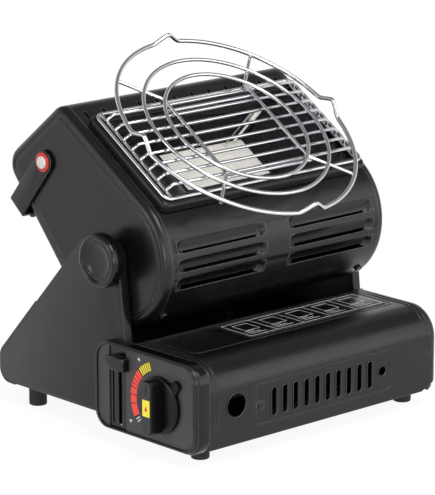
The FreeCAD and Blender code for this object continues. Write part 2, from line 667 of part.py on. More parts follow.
def back_cover():
    """Sheet that closes the slope behind the head and turns in under the base."""
    steel = size("steel")
    corners = bracket_corners()
    (top_y, top_z), (heel_y, heel_z), (low_y, low_z) = corners[2], corners[3], corners[4]
    start_y = size("cover_top_back")
    start_z = heel_z + (heel_y - start_y) * (top_z - heel_z) / (heel_y - top_y)
    inner = [(low_y - size("cover_foot"), low_z), (low_y, low_z), (heel_y, heel_z), (start_y, start_z)]
    slope = math.atan2(top_z - heel_z, heel_y - top_y)
    lift = (1 - math.sin(slope)) / math.cos(slope) * steel
    outer = [(start_y + steel * math.sin(slope), start_z + steel * math.cos(slope)),
             (heel_y + steel, heel_z + lift), (low_y + steel, low_z - steel),
             (low_y - size("cover_foot"), low_z - steel)]
    tight = size("bracket_round") - 2
    radii = [0, tight, size("bracket_round"), 0, 0, size("bracket_round") + steel, tight + steel, 0]
    half = size("side_half")
    face = side_face(inner + outer, radii, -half)
    piece = feature_from("back_cover", face.extrude(Vector(2 * half, 0, 0)))
    in_base(piece)


def feet():
    """Rubber feet: a pair under the tray and a pair under the pan, each recessed for its screw."""
    for label, along_name, back, top in (
            ("front_feet", "front_foot_along", "front_foot_back", "tray_up"),
            ("rear_feet", "rear_foot_along", "rear_foot_back", "bracket_up + steel")):
        piece = new_body(label)
        ground = new_sketch(piece, "XY_Plane")
        circle(ground, "-" + along_name, back, "foot_radius")
        circle(ground, along_name, back, "foot_radius")
        pad(piece, ground, top)
        recess = new_sketch(piece, "XY_Plane")
        circle(recess, "-" + along_name, back, "screw_head + 1")
        circle(recess, along_name, back, "screw_head + 1")
        pocket(piece, recess, "5", along_normal=True)
        bore = new_sketch(piece, "XY_Plane")
        circle(bore, "-" + along_name, back, "screw_radius")
        circle(bore, along_name, back, "screw_radius")
        pocket(piece, bore, top, along_normal=True)
        fillet(piece, "1", lambda edge: near(edge.BoundBox.ZMax, "0") and edge.Length > 40)
        in_base(piece)


def foot_screws():
    """Screws that hold the feet from below, each with a head in the foot's recess."""
    places = [("-front_foot_along", "front_foot_back", "tray_up"),
              ("front_foot_along", "front_foot_back", "tray_up"),
              ("-rear_foot_along", "rear_foot_back", "bracket_up + steel"),
              ("rear_foot_along", "rear_foot_back", "bracket_up + steel")]
    shapes = []
    for across, back, top in places:
        x, y, z = size(across), size(back), size(top)
        head = Part.makeCylinder(size("screw_head"), 2, Vector(x, y, 3))
        shank = Part.makeCylinder(size("screw_radius"), z - 5, Vector(x, y, 5))
        shapes.append(head.fuse(shank))
    piece = feature_from("foot_screws", Part.makeCompound(shapes))
    in_base(piece)


# Cartridge lid and its hinge


def cartridge_lid():
    """Hinged cover over the cartridge: a bent sheet with a closed right end."""
    piece = new_body("cartridge_lid")
    side = new_sketch(piece, "YZ_Plane", "-lid_half")
    rectangle(side, "0", "lid_low", "lid_depth", "lid_top")
    pad(piece, side, "2 * lid_half")
    fillet(piece, "lid_nose", lambda edge: along(edge, "X") and near(edge.BoundBox.YMax, "0")
           and near(edge.BoundBox.ZMin, "lid_top"))
    fillet(piece, "lid_end_round", lambda edge: near(edge.BoundBox.XMin, "lid_half")
           and not near(edge.BoundBox.ZMax, "lid_low") and not near(edge.BoundBox.YMin, "lid_depth"))
    hollow_out(piece, "steel", lambda face: near(face.BoundBox.XMax, "-lid_half")
               or near(face.BoundBox.YMin, "lid_depth") or near(face.BoundBox.ZMax, "lid_low"))
    front = new_sketch(piece, "XZ_Plane", "-2 * steel")
    for number in range(int(size("vent_count"))):
        slot(front, "vent_first + %d * vent_pitch" % number, "vent_low", "vent_high", "vent_width")
    circle(front, "port_along", "port_up", "port_radius")
    circle(front, "peep_along", "peep_up", "peep_radius")
    pocket(piece, front, "4 * steel", along_normal=True)
    corner = new_sketch(piece, "XZ_Plane", "-lid_end_round - steel")
    outline(corner, [("lid_half - lid_cut_along", "lid_low - 1"), ("lid_half + 1", "lid_low - 1"),
                     ("lid_half + 1", "lid_low + lid_cut_up")])
    pocket(piece, corner, "lid_end_round + 3 * steel", along_normal=True)
    for side in ("-", ""):
        ear = new_sketch(piece, "YZ_Plane", side + "(hinge_along - 2.3 * steel)")
        outline(ear, [("0", "lid_low"), ("hinge_in + 2", "lid_low"), ("hinge_in + 2", "hinge_up + 2"),
                      ("0", "hinge_up + 4")])
        circle(ear, "hinge_in", "hinge_up", "hinge_pin + running")
        pad(piece, ear, "steel", backwards=side == "-")
    in_base(piece)


def label_plate():
    """Thin plate on top of the lid, bare but for its outline."""
    piece = new_body("label_plate")
    area = new_sketch(piece, "XY_Plane", "lid_top")
    rectangle(area, "label_left", "label_front", "label_right", "label_back")
    pad(piece, area, "label_thick")
    fillet(piece, "3", lambda edge: along(edge, "Z"))
    in_base(piece)


def hinge_pins():
    shapes = []
    for side in (-1, 1):
        start = (side * size("hinge_along - 3 * steel"), size("hinge_in"), size("hinge_up"))
        shapes.append(cylinder_along((side, 0, 0), size("hinge_pin"), start, size("6 * steel")))
    piece = feature_from("lid_hinge_pins", Part.makeCompound(shapes))
    in_base(piece)


# Controls on the left end


def control_bezel():
    """Moulded panel with a raised rim, the knob's hole and the lever's channel."""
    piece = new_body("control_bezel")
    body_face = new_sketch(piece, "YZ_Plane", "-bezel_face")
    rectangle(body_face, "-bezel_front", "bezel_low", "bezel_back", "bezel_top")
    pad(piece, body_face, "bezel_face - side_half")
    fillet(piece, "bezel_round", lambda edge: along(edge, "X"))
    panel = new_sketch(piece, "YZ_Plane", "-bezel_face")
    rounded_rectangle(panel, "-bezel_front + bezel_brow", "bezel_low + bezel_rim",
                      "bezel_back - bezel_rim", "bezel_top - bezel_rim", "bezel_round - bezel_rim")
    pocket(piece, panel, "bezel_sink", along_normal=True)
    channel = new_sketch(piece, "YZ_Plane", "-bezel_face")
    rectangle(channel, "lever_back - 9", "bezel_low + bezel_rim",
              "lever_back + 12.5", "bezel_top - bezel_rim")
    pocket(piece, channel, "bezel_sink + 1", along_normal=True)
    cavity = new_sketch(piece, "YZ_Plane", "-side_half")
    rounded_rectangle(cavity, "-bezel_front + bezel_brow", "bezel_low + bezel_wall",
                      "bezel_back - bezel_wall", "bezel_top - bezel_wall", "bezel_round - bezel_wall")
    pocket(piece, cavity, "bezel_face - side_half - bezel_sink - bezel_wall")
    holes = new_sketch(piece, "YZ_Plane", "-bezel_face")
    circle(holes, "knob_back", "knob_up", "spindle_radius + 2.5")
    slot(holes, "lever_back", "lever_low", "lever_high", "lever_slot")
    slot(holes, "lever_back + 8.5", "lever_low", "lever_high", "lever_slot / 2")
    pocket(piece, holes, "bezel_face - side_half", along_normal=True)
    in_base(piece)


def valve_plate():
    """Steel plate behind the bezel that carries the valve."""
    piece = new_body("valve_plate")
    area = new_sketch(piece, "YZ_Plane", "-side_half + fit")
    rectangle(area, "2 * steel + 1 + fit", "tray_up + steel",
              "bracket_front - plate_gap", "lid_top - 2 * steel")
    circle(area, "knob_back", "knob_up", "spindle_radius + 2")
    rectangle(area, "lock_lane - 4", "lock_low - 2", "lock_lane + 2", "lock_low + 8")
    pad(piece, area, "steel")
    in_base(piece)


def valve_body():
    """Brass and zinc gas valve with its regulator drum and the seat for the cartridge's collar."""
    piece = new_body("gas_valve")
    start = "-side_half + fit + steel"
    core = new_sketch(piece, "YZ_Plane", start)
    rectangle(core, "knob_back - valve_half", "knob_up - 14", "knob_back + valve_half", "knob_up + 18")
    pad(piece, core, "side_half - fit - steel - valve_end - 6")
    fillet(piece, "3", lambda edge: along(edge, "X"))
    seat = new_sketch(piece, "YZ_Plane", "-valve_end - 6")
    circle(seat, "knob_back", "cartridge_up", "collar_radius")
    pad(piece, seat, "6")
    socket = new_sketch(piece, "YZ_Plane", "-valve_end")
    circle(socket, "knob_back", "cartridge_up", "8")
    pocket(piece, socket, "9")
    regulator = new_sketch(piece, "XZ_Plane", "-(knob_back + valve_half)")
    circle(regulator, "-regulator_along", "cartridge_up", "regulator_radius")
    pad(piece, regulator, "regulator_depth", backwards=True)
    bore = new_sketch(piece, "YZ_Plane", start)
    circle(bore, "knob_back", "knob_up", "spindle_radius + running")
    pocket(piece, bore, "14", along_normal=True)
    in_base(piece)


def piezo_igniter():
    piece = rod("piezo_igniter", "piezo_radius", "25")
    put(piece, "-side_half + 2 * fit + steel", "knob_back", "knob_up + 18 + piezo_radius + 0.1")


def cartridge_cradle():
    """Two pressed saddles that the cartridge lies on."""
    piece = new_body("cartridge_cradle")
    for number, middle in enumerate(("-62", "62")):
        saddle = new_sketch(piece, "YZ_Plane", middle)
        rectangle(saddle, "knob_back - 24", "tray_up + steel", "knob_back + 24", "cartridge_up - 12")
        pad(piece, saddle, "2 * steel")
    hollow = new_sketch(piece, "YZ_Plane", "-80")
    circle(hollow, "knob_back", "cartridge_up", "cartridge_radius + fit")
    pocket(piece, hollow, "160", along_normal=True)
    strap = new_sketch(piece, "XY_Plane", "tray_up + steel")
    rectangle(strap, "-62", "knob_back - 3", "64", "knob_back + 3")
    pad(piece, strap, "0.3 * steel")
    in_base(piece)


def gas_knob():
    """Disc with a tall grip across it and a stop lug on its rim."""
    piece = new_body("gas_knob")
    disc = new_sketch(piece, "YZ_Plane")
    circle(disc, "0", "0", "knob_radius")
    pad(piece, disc, "knob_disc", backwards=True)
    lug = new_sketch(piece, "YZ_Plane")
    outline(lug, [("-knob_radius * 0.55", "knob_radius * 0.75"),
                  ("-knob_radius * 0.9", "knob_radius * 1.06"),
                  ("-knob_radius * 1.1", "knob_radius * 0.86"),
                  ("-knob_radius * 0.8", "knob_radius * 0.5")])
    pad(piece, lug, "knob_disc", backwards=True)
    grip = new_sketch(piece, "YZ_Plane", "-knob_disc")
    rectangle(grip, "-knob_grip / 2", "-knob_radius * 0.96", "knob_grip / 2", "knob_radius * 0.96")
    pad(piece, grip, "knob_face - bezel_face + bezel_sink - fit - knob_disc", backwards=True)
    tall = size("knob_face - bezel_face + bezel_sink - fit")
    fillet(piece, "2.5", lambda edge: along(edge, "Z") and abs(edge.BoundBox.XMin + tall) < 1e-3)
    hub = new_sketch(piece, "YZ_Plane", "-knob_disc")
    circle(hub, "0", "0", "spindle_radius")
    pocket(piece, hub, "knob_disc", along_normal=True)
    put(piece, "-bezel_face + bezel_sink - fit", "knob_back", "knob_up")


def knob_mark():
    """Coloured inlay on the face of the knob's grip."""
    piece = block("knob_mark", "mark_thick", "mark_width", "mark_height")
    put(piece, "-knob_face - mark_thick", "knob_back - mark_width / 2", "knob_up - mark_height / 2")


def valve_spindle():
    piece = rod("valve_spindle", "spindle_radius", "24")
    put(piece, "-bezel_face + bezel_sink - fit - knob_disc", "knob_back", "knob_up")


def lock_lever():
    """Thumb lever in front of the bezel with its slide plate behind it."""
    piece = new_body("lock_lever")
    slider = new_sketch(piece, "YZ_Plane", "-side_half - 4")
    rectangle(slider, "lever_back - 22", "bezel_low + bezel_wall + lever_spare + lever_travel",
              "lever_back + 11", "lever_high + 6")
    pad(piece, slider, "2")
    stem = new_sketch(piece, "YZ_Plane", "-bezel_face + bezel_sink - 0.6")
    rectangle(stem, "lever_back - 1.7", "lever_high - 12", "lever_back + 1.7", "lever_high - 4")
    pad(piece, stem, "bezel_face - bezel_sink - side_half - 1.4")
    tab = new_sketch(piece, "YZ_Plane", "-bezel_face + bezel_sink - 0.4")
    outline(tab, [("lever_back - 13", "lever_high - 10"), ("lever_back - 13", "lever_high + 1"),
                  ("lever_back + 1", "lever_high + 2"), ("lever_back + 13", "lever_high - 1"),
                  ("lever_back + 3", "lever_high - 11")])
    pad(piece, tab, "7", backwards=True)
    low = size("-bezel_face + bezel_sink - 7.4")
    fillet(piece, "1.5", lambda edge: edge.BoundBox.XMax < low + 1e-3)
    in_base(piece)


def lock_plate():
    """Fork that draws the cartridge's collar onto the valve."""
    piece = new_body("lock_plate")
    rest = "-valve_end + 1.5 + lock_travel"
    fork = new_sketch(piece, "YZ_Plane", rest)
    rectangle(fork, "knob_back - 24", "tray_up + steel + fit", "knob_back + 24", "cartridge_up + 16")
    pad(piece, fork, "1.5")
    gap = new_sketch(piece, "YZ_Plane", rest)
    rectangle(gap, "knob_back - 12", "cartridge_up - 8", "knob_back + 12", "cartridge_up + 20")
    pocket(piece, gap, "3", along_normal=True)
    arm = new_sketch(piece, "YZ_Plane", rest)
    rectangle(arm, "knob_back + valve_half + 3", "lock_low", "knob_back + valve_half + 5.5", "lock_low + 6")
    pad(piece, arm, "lock_travel + 8", backwards=True)
    link = new_sketch(piece, "YZ_Plane", "-valve_end - 6.5")
    rectangle(link, "knob_back + valve_half + 3", "lock_low", "lock_lane", "lock_low + 6")
    pad(piece, link, "1.5")
    reach = new_sketch(piece, "YZ_Plane", "-valve_end - 5")
    rectangle(reach, "lock_lane - 2.2", "lock_low", "lock_lane", "lock_low + 6")
    pad(piece, reach, "side_half + 1.6 - valve_end - 5 - lock_travel", backwards=True)
    in_base(piece)


# Gas pipe and tilt bearings


def gas_pipe():
    """Pipe from the valve up beside the head to the banjo ring round the left tilt stud."""
    start = -size("regulator_along")
    level = size("cartridge_up")
    lane = -size("pipe_lane")
    back = size("pivot_back")
    points = [(start, size("knob_back + valve_half + regulator_depth"), level), (start, back, level),
              (lane, back, level + 22), (lane, back, size("pivot_up - 8.8"))]
    pipe = bent_wire(points, 9, size("pipe_radius"))
    piece = feature_from("gas_pipe", pipe)
    in_base(piece)


def bearing_ring(label, side):
    """Ring round a tilt stud between a bracket and the head."""
    piece = new_body(label)
    area = new_sketch(piece, "YZ_Plane")
    circle(area, "0", "0", "pivot_radius + running")
    circle(area, "0", "0", "8.8")
    pad(piece, area, "side_half - steel - head_half - 2.4 - 2 * fit", backwards=side > 0)
    put(piece, ("" if side > 0 else "-") + "(side_half - steel - fit)", "pivot_back", "pivot_up")


def friction_washers():
    """Fibre washers between the bearing rings and the head."""
    shapes = []
    for side in (-1, 1):
        start = side * size("head_half + 0.1")
        disc = cylinder_along((side, 0, 0), size("washer_radius"), (start, 0, 0), 2.2)
        bore = cylinder_along((side, 0, 0), size("pivot_radius + running"), (start, 0, 0), 2.2)
        shapes.append(disc.cut(bore))
    piece = feature_from("friction_washers", Part.makeCompound(shapes))
    in_head(piece)


def tilt_stud(label, side):
    """Threaded stud welded to the head; the left one is hollow and carries the gas."""
    piece = new_body(label)
    profile = new_sketch(piece, "XY_Plane")
    hollow = "pivot_radius * 0.4" if side < 0 else "0"
    collar = "head_half - steel"
    outline(profile, [("%s - 8" % collar, hollow), ("tilt_knob_face - 4", hollow),
                      ("tilt_knob_face - 4", "pivot_radius"), (collar, "pivot_radius"),
                      (collar, "pivot_radius + 4"), ("%s - 8" % collar, "pivot_radius + 4")])
    revolve(piece, profile)
    in_head(piece)
    if side < 0:
        mirrored = FreeCAD.Rotation(Vector(0, 0, 1), 180)
        piece.setExpression("Placement.Rotation.Angle", None)
        turn = FreeCAD.Rotation(Vector(1, 0, 0), size("tilt")).multiply(mirrored)
        piece.Placement = FreeCAD.Placement(piece.Placement.Base, turn)


def tilt_knob(label, side):
    """Round clamping knob with a dished face."""
    piece = new_body(label)
    profile = new_sketch(piece, "XY_Plane")
    back = "side_half + fit"
    rim = "tilt_knob_face - tilt_knob_thick"
    outline(profile, [
        (back, "5.2"), (back, "9"), (rim, "9"), (rim, "tilt_knob_radius - 1.5"),
        ("tilt_knob_face - tilt_knob_thick + 1.5", "tilt_knob_radius"),
        ("tilt_knob_face - 3", "tilt_knob_radius"), ("tilt_knob_face", "tilt_knob_radius - 2.5"),
        ("tilt_knob_face", "tilt_knob_radius - 5"), ("tilt_knob_face - 2.5", "tilt_knob_radius - 9"),
        ("tilt_knob_face - 3.2", "0"), ("tilt_knob_face - 3.7", "0"), ("tilt_knob_face - 3.7", "5.2")])
    revolve(piece, profile)
    in_head(piece)
    if side < 0:
        piece.setExpression("Placement.Rotation.Angle", None)
        turn = FreeCAD.Rotation(Vector(1, 0, 0), size("tilt"))
        turn = turn.multiply(FreeCAD.Rotation(Vector(0, 0, 1), 180))
        piece.Placement = FreeCAD.Placement(piece.Placement.Base, turn)


def knob_insert(label, side):
    """Threaded brass insert in a tilt knob."""
    piece = new_body(label)
    area = new_sketch(piece, "YZ_Plane")
    circle(area, "0", "0", "pivot_radius + running")
    circle(area, "0", "0", "5.2 - 0.05")
    pad(piece, area, "tilt_knob_face - 4 - side_half - fit", backwards=side < 0)
    put(piece, ("" if side > 0 else "-") + "(side_half + fit)", "pivot_back", "pivot_up")


# Head: pressed shell, end caps and back panel


def head_section(depth):
    """The head's closed outline at X = 0, moved inwards by a depth."""
    drum = size("drum_radius")
    heel = size("heel_radius")
    angle = math.radians(size("heel_angle"))
    spread = heel - drum
    centre = Vector(0, -spread * math.cos(angle), -spread * math.sin(angle))
    brow = Vector(0, size("brow_along"), drum)
    rump = Vector(0, size("rump_along"), -size("rump_drop"))
    away = rump - centre
    lean = math.atan2(away.z, away.y) - math.acos(heel / away.Length)
    outward = Vector(0, math.cos(lean), math.sin(lean))
    facet = (rump - brow).normalize()
    facet_out = Vector(0, -facet.z, facet.y)
    slope = Vector(0, -outward.z, outward.y)

    def crossing(normal_a, level_a, normal_b, level_b):
        spin = normal_a.y * normal_b.z - normal_a.z * normal_b.y
        return Vector(0, (level_a * normal_b.z - level_b * normal_a.z) / spin,
                      (normal_a.y * level_b - normal_b.y * level_a) / spin)

    upright = Vector(0, 0, 1)
    brow_in = crossing(facet_out, facet_out.dot(brow) - depth, upright, drum - depth)
    rump_in = crossing(facet_out, facet_out.dot(rump) - depth, outward, outward.dot(rump) - depth)
    toe = centre + outward * (heel - depth)
    start = Vector(0, 0, drum - depth)

    def on_arc(middle, radius, turn):
        return middle + Vector(0, radius * math.cos(turn), radius * math.sin(turn))

    half_drum = (math.pi / 2 + angle) / 2
    half_heel = (angle + lean + 2 * math.pi) / 2
    origin = Vector(0, 0, 0)
    seam = on_arc(origin, drum - depth, angle)
    edges = [Part.Arc(start, on_arc(origin, drum - depth, half_drum), seam).toShape(),
             Part.Arc(seam, on_arc(centre, heel - depth, half_heel), toe).toShape()]
    low_arc = bend(toe, rump_in, brow_in, size("rump_round") - depth)
    high_arc = bend(rump_in, brow_in, start, size("brow_round") - depth)
    edges.append(Part.LineSegment(toe, low_arc[0]).toShape())
    edges.append(Part.Arc(*low_arc).toShape())
    edges.append(Part.LineSegment(low_arc[2], high_arc[0]).toShape())
    edges.append(Part.Arc(*high_arc).toShape())
    edges.append(Part.LineSegment(high_arc[2], start).toShape())
    return Part.Face(Part.Wire(edges)), toe, high_arc[0]


def wrapped_sheet():
    """The whole wrapped sheet of the head between its end caps."""
    skin = size("head_half - cap_depth")
    outer, toe, brow = head_section(0)
    inner = head_section(size("steel"))[0]
    for face in (outer, inner):
        face.translate(Vector(-skin, 0, 0))
    return outer.cut(inner).extrude(Vector(2 * skin, 0, 0)), toe, brow


def back_region(toe, brow):
    """Block that takes in the back panel's share of the wrapped sheet."""
    wide = 2 * size("head_half")
    far = 2 * size("rump_along")
    return box_at((-wide, toe.y, -far), (wide, far, brow.z))


def louvre(middle, angle):
    """Pressed-in sheet of one louvre and the window it stands in, at a place round the drum."""
    drum = size("drum_radius")
    thick = size("louvre_sheet")
    floor = drum - size("louvre_sink")
    reach = size("louvre_half")
    edge = reach - size("louvre_gap")
    half = size("louvre_length") / 2
    out = Vector(0, math.cos(math.radians(angle)), math.sin(math.radians(angle)))
    down = Vector(0, -out.z, out.y)

    def prism(corners, start, length):
        wire = Part.makePolygon([out * r + down * s + Vector(start, 0, 0) for r, s in corners + corners[:1]])
        return Part.Face(wire).extrude(Vector(length, 0, 0))

    # The drum's sheet lies lower here than at the middle of the louvre, because it is round.
    skin = math.sqrt(drum ** 2 - reach ** 2) - size("steel") / 2
    slope = [(skin, -reach - thick), (skin + 0.2, -reach), (floor, 0), (floor, edge),
             (floor - thick, edge), (floor - thick, -0.3), (skin - 0.6, -reach - thick)]
    cheek = [(skin, -reach - thick), (skin, reach + thick), (floor - thick, edge), (floor - thick, -0.3)]
    shape = prism(slope, middle - half, 2 * half)
    for start in (middle - half - thick / 2, middle + half - thick / 2):
        shape = shape.fuse(prism(cheek, start, thick))
    window = prism([(drum - 3, -reach), (drum + 1, -reach), (drum + 1, reach), (drum - 3, reach)],
                   middle - half, 2 * half)
    return shape, window


def bolt_places():
    """Inner end and direction of the two bolts in the drum."""
    angle = math.radians(size("bolt_angle"))
    out = Vector(0, math.cos(angle), math.sin(angle))
    across = size("head_half - cap_depth - 6")
    return [(Vector(side * across, 0, 0) + out * size("drum_radius - 5"), out) for side in (-1, 1)]


def head_shell():
    """Face plate and drum in one bent sheet, with louvres, top slots and the burner opening."""
    sheet_solid, toe, brow = wrapped_sheet()
    shape = sheet_solid.cut(back_region(toe, brow))
    drum = size("drum_radius")
    for middle in (-size("louvre_offset"), size("louvre_offset")):
        for step in (-1, 0, 1):
            pressed, window = louvre(middle, size("louvre_angle") + step * size("louvre_pitch"))
            shape = shape.cut(window).fuse(pressed)
    count = int(size("slit_count"))
    for number in range(count):
        x = (number - (count - 1) / 2) * size("slit_pitch")
        half = size("slit_width") / 2
        low = size("slit_along - slit_length / 2")
        shape = shape.cut(box_at((x - half, low, drum - 3), (x + half, low + size("slit_length"), drum + 3)))
    for foot, out in bolt_places():
        shape = shape.cut(Part.makeCylinder(size("bolt_radius"), 12, foot - out * 2, out))
    rim = size("surround_rim")
    opening = box_at((-size("surround_half") + rim - 1, size("surround_low") + rim, drum - 3),
                     (size("surround_half") - rim + 1, size("surround_high") - rim + 6, drum + 3))
    piece = feature_from("head_shell", shape.cut(opening).removeSplitter())
    in_head(piece)


def back_panel():
    """Separate sheet behind the head."""
    sheet_solid, toe, brow = wrapped_sheet()
    shape = sheet_solid.common(back_region(toe, brow))
    piece = feature_from("back_panel", shape)
    in_head(piece)


def end_cap(label, side):
    """Pressed cap with a rounded edge that closes one end of the head."""
    depth = size("cap_depth")
    steel = size("steel")
    outer = head_section(0)[0].extrude(Vector(side * depth, 0, 0))
    rim = [edge for edge in outer.Edges if abs(edge.CenterOfMass.x - side * depth) < 1e-3]
    outer = outer.makeFillet(size("cap_round"), rim)
    inner = head_section(steel)[0].extrude(Vector(side * (depth - steel), 0, 0))
    rim = [edge for edge in inner.Edges if abs(edge.CenterOfMass.x - side * (depth - steel)) < 1e-3]
    inner = inner.makeFillet(size("cap_round") - steel, rim)
    shape = outer.cut(inner)
    start = -depth if side < 0 else 0
    for y, z, radius in ((0, 0, size("pivot_radius")),
                         (size("handle_along"), size("handle_up"), size("handle_screw"))):
        shape = shape.cut(cylinder_along((1, 0, 0), radius, (start - 1, y, z), depth + 2))
    piece = feature_from(label, shape)
    in_head(piece)
    put(piece, ("" if side > 0 else "-") + "(head_half - cap_depth)", "pivot_back", "pivot_up")


# Burner


def burner_surround():
    """Raised frame round the burner, hollow below."""
    piece = new_body("burner_surround")
    area = new_sketch(piece, "XY_Plane", "drum_radius")
    rectangle(area, "-surround_half", "surround_low", "surround_half", "surround_high")
    pad(piece, area, "surround_rise")
    fillet(piece, "7", lambda edge: along(edge, "Z"))
    fillet(piece, "2.5", lambda edge: near(edge.BoundBox.ZMin, "drum_radius + surround_rise"))
    opening = new_sketch(piece, "XY_Plane", "drum_radius")
    rectangle(opening, "-surround_half + surround_rim", "surround_low + surround_rim",
              "surround_half - surround_rim", "surround_high - surround_rim")
    pocket(piece, opening, "surround_rise + 1", along_normal=True)
    below = new_sketch(piece, "XY_Plane", "drum_radius")
    rectangle(below, "-surround_half + 3", "surround_low + 3", "surround_half - 3", "surround_high - 3")
    pocket(piece, below, "surround_rise - steel", along_normal=True)
    in_head(piece)


def frustum(lower, upper, low, high):
    """A block that widens upwards, between two (half length, width, middle) rectangles."""
    wires = []
    for (half, width, middle), height in ((lower, low), (upper, high)):
        corners = [Vector(-half, middle - width / 2, height), Vector(half, middle - width / 2, height),
                   Vector(half, middle + width / 2, height), Vector(-half, middle + width / 2, height)]
        wires.append(Part.makePolygon(corners + corners[:1]))
    return Part.makeLoft(wires, True, True)


def electrode_line(shift):
    """Where an electrode or probe enters the reflector and where it ends over the plaque."""
    across = size("electrode_out") - shift
    outer = Vector(across, size("surround_high - electrode_in"), size("drum_radius") + 0.8)
    tip = Vector(size("electrode_tip") - shift, size("electrode_tip_up"), size("plaque_up + electrode_gap"))
    return outer, tip


def reflector():
    """Sloping dish from the surround down to the plaque, with a flat flange above and below."""
    steel = size("steel")
    floor = size("plaque_up")
    top = size("drum_radius + surround_rise") - steel
    half, width, middle = size("dish_half"), size("dish_width"), size("burner_along")
    upper_half = size("surround_half - surround_rim")
    upper_width = size("surround_high - surround_low - 2 * surround_rim")
    upper_middle = size("(surround_high + surround_low) / 2")
    outer = frustum((half + 1, width + 2, middle), (upper_half, upper_width, upper_middle), floor, top)
    flange = box_at((-upper_half - 4, size("surround_low") + 5, top - steel),
                    (upper_half + 4, size("surround_high") - 5, top))
    inner = frustum((half, width, middle), (upper_half - 1, upper_width - 2, upper_middle),
                    floor + steel, top + 0.01)
    window = box_at((-size("plaque_half") + 2, size("burner_along - plaque_width / 2") + 2, floor - 1),
                    (size("plaque_half") - 2, size("burner_along + plaque_width / 2") - 2, floor + 2))
    shape = outer.fuse(flange).cut(inner).cut(window)
    for shift in (0, 9):
        start, tip = electrode_line(shift)
        shape = shape.cut(Part.makeCylinder(size("rod_radius") + 0.3, 50, start, tip - start))
    piece = feature_from("reflector", shape)
    in_head(piece)


def ceramic_plaque():
    piece = new_body("ceramic_plaque")
    area = new_sketch(piece, "XY_Plane", "plaque_up - plaque_thick")
    rectangle(area, "-plaque_half", "burner_along - plaque_width / 2", "plaque_half",
              "burner_along + plaque_width / 2")
    pad(piece, area, "plaque_thick")
    in_head(piece)


def burner_box():
    """Box under the plaque that spreads the gas, with a ledge that the plaque sits on."""
    piece = new_body("burner_box")
    around = "(fit + burner_wall)"
    area = new_sketch(piece, "XY_Plane", "burner_floor")
    rectangle(area, "-plaque_half - %s" % around, "burner_along - plaque_width / 2 - %s" % around,
              "plaque_half + %s" % around, "burner_along + plaque_width / 2 + %s" % around)
    pad(piece, area, "plaque_up - burner_floor - 2")
    upper = new_sketch(piece, "XY_Plane", "plaque_up - plaque_thick")
    rectangle(upper, "-plaque_half - fit", "burner_along - plaque_width / 2 - fit",
              "plaque_half + fit", "burner_along + plaque_width / 2 + fit")
    pocket(piece, upper, "plaque_thick", along_normal=True)
    lower = new_sketch(piece, "XY_Plane", "burner_floor + burner_wall")
    rectangle(lower, "-plaque_half + 3", "burner_along - plaque_width / 2 + 3",
              "plaque_half - 3", "burner_along + plaque_width / 2 - 3")
    pocket(piece, lower, "plaque_up - burner_floor", along_normal=True)
    inlet = new_sketch(piece, "XY_Plane", "burner_floor - 1")
    circle(inlet, "0", "burner_along", "mixer_radius - 1.5")
    pocket(piece, inlet, "burner_wall + 2", along_normal=True)
    in_head(piece)


def mixing_tube():
    """Venturi tube that draws air in round the jet and feeds the burner box."""
    radius = size("mixer_radius")
    middle = size("burner_along")
    level = -size("mixer_drop")
    mouth = -size("mixer_mouth")
    outer = cylinder_along((1, 0, 0), radius, (mouth, middle, level), 14 - mouth)
    neck = cylinder_along((0, 0, 1), radius, (0, middle, level), size("burner_floor") - level)
    bell = Part.makeCone(radius + 4, radius, 10, Vector(mouth - 2, middle, level), Vector(1, 0, 0))
    shape = outer.fuse(neck).fuse(bell)
    bore = cylinder_along((1, 0, 0), radius - 1.5, (mouth - 3, middle, level), 14 - mouth)
    rise = cylinder_along((0, 0, 1), radius - 1.5, (0, middle, level), size("burner_floor") - level + 1)
    start = Vector(mouth - 2.01, middle, level)
    flare = Part.makeCone(radius + 2.5, radius - 1.5, 10, start, Vector(1, 0, 0))
    piece = feature_from("mixing_tube", shape.cut(bore).cut(rise).cut(flare))
    in_head(piece)


def gas_feed_tube():
    """Small pipe inside the head from the hollow stud to the jet."""
    start = -size("head_half - steel - 8")
    middle = size("burner_along")
    level = -size("mixer_drop")
    lane = start + 9
    points = [(start, 0, 0), (lane, 0, 0), (lane, middle, level), (lane + 8, middle, level)]
    piece = feature_from("gas_feed_tube", bent_wire(points, 5, size("pipe_radius")))
    in_head(piece)


def gas_jet():
    piece = new_body("gas_jet")
    start = "-(head_half - steel - 8) + 17"
    nut = new_sketch(piece, "YZ_Plane", start)
    circle(nut, "burner_along", "-mixer_drop", "5")
    pad(piece, nut, "5")
    nose = new_sketch(piece, "YZ_Plane", start)
    circle(nose, "burner_along", "-mixer_drop", "2.6")
    pad(piece, nose, "12")
    in_head(piece)


def electrode(label, shift, radius):
    """Ceramic-sleeved rod that reaches over the corner of the plaque."""
    outer, tip = electrode_line(shift)
    heading = tip - outer
    sleeve = Part.makeCylinder(radius, heading.Length * 0.6, outer, heading)
    core = Part.makeCylinder(radius * 0.45, heading.Length, outer, heading)
    piece = feature_from(label, sleeve.fuse(core))
    in_head(piece)


def electrode_bracket():
    """Clip under the reflector's flange that holds the electrode and the probe."""
    top = size("drum_radius + surround_rise") - 2 * size("steel")
    back = size("surround_high - surround_rim") + 1.3
    shape = box_at((size("clip_left"), back, top - size("clip_drop")),
                   (size("clip_right"), back + size("clip_thick"), top))
    for shift, radius in ((0, size("rod_radius")), (size("probe_beside"), size("probe_radius"))):
        start, tip = electrode_line(shift)
        shape = shape.cut(Part.makeCylinder(radius + 0.05, 30, start, tip - start))
    piece = feature_from("electrode_bracket", shape)
    in_head(piece)


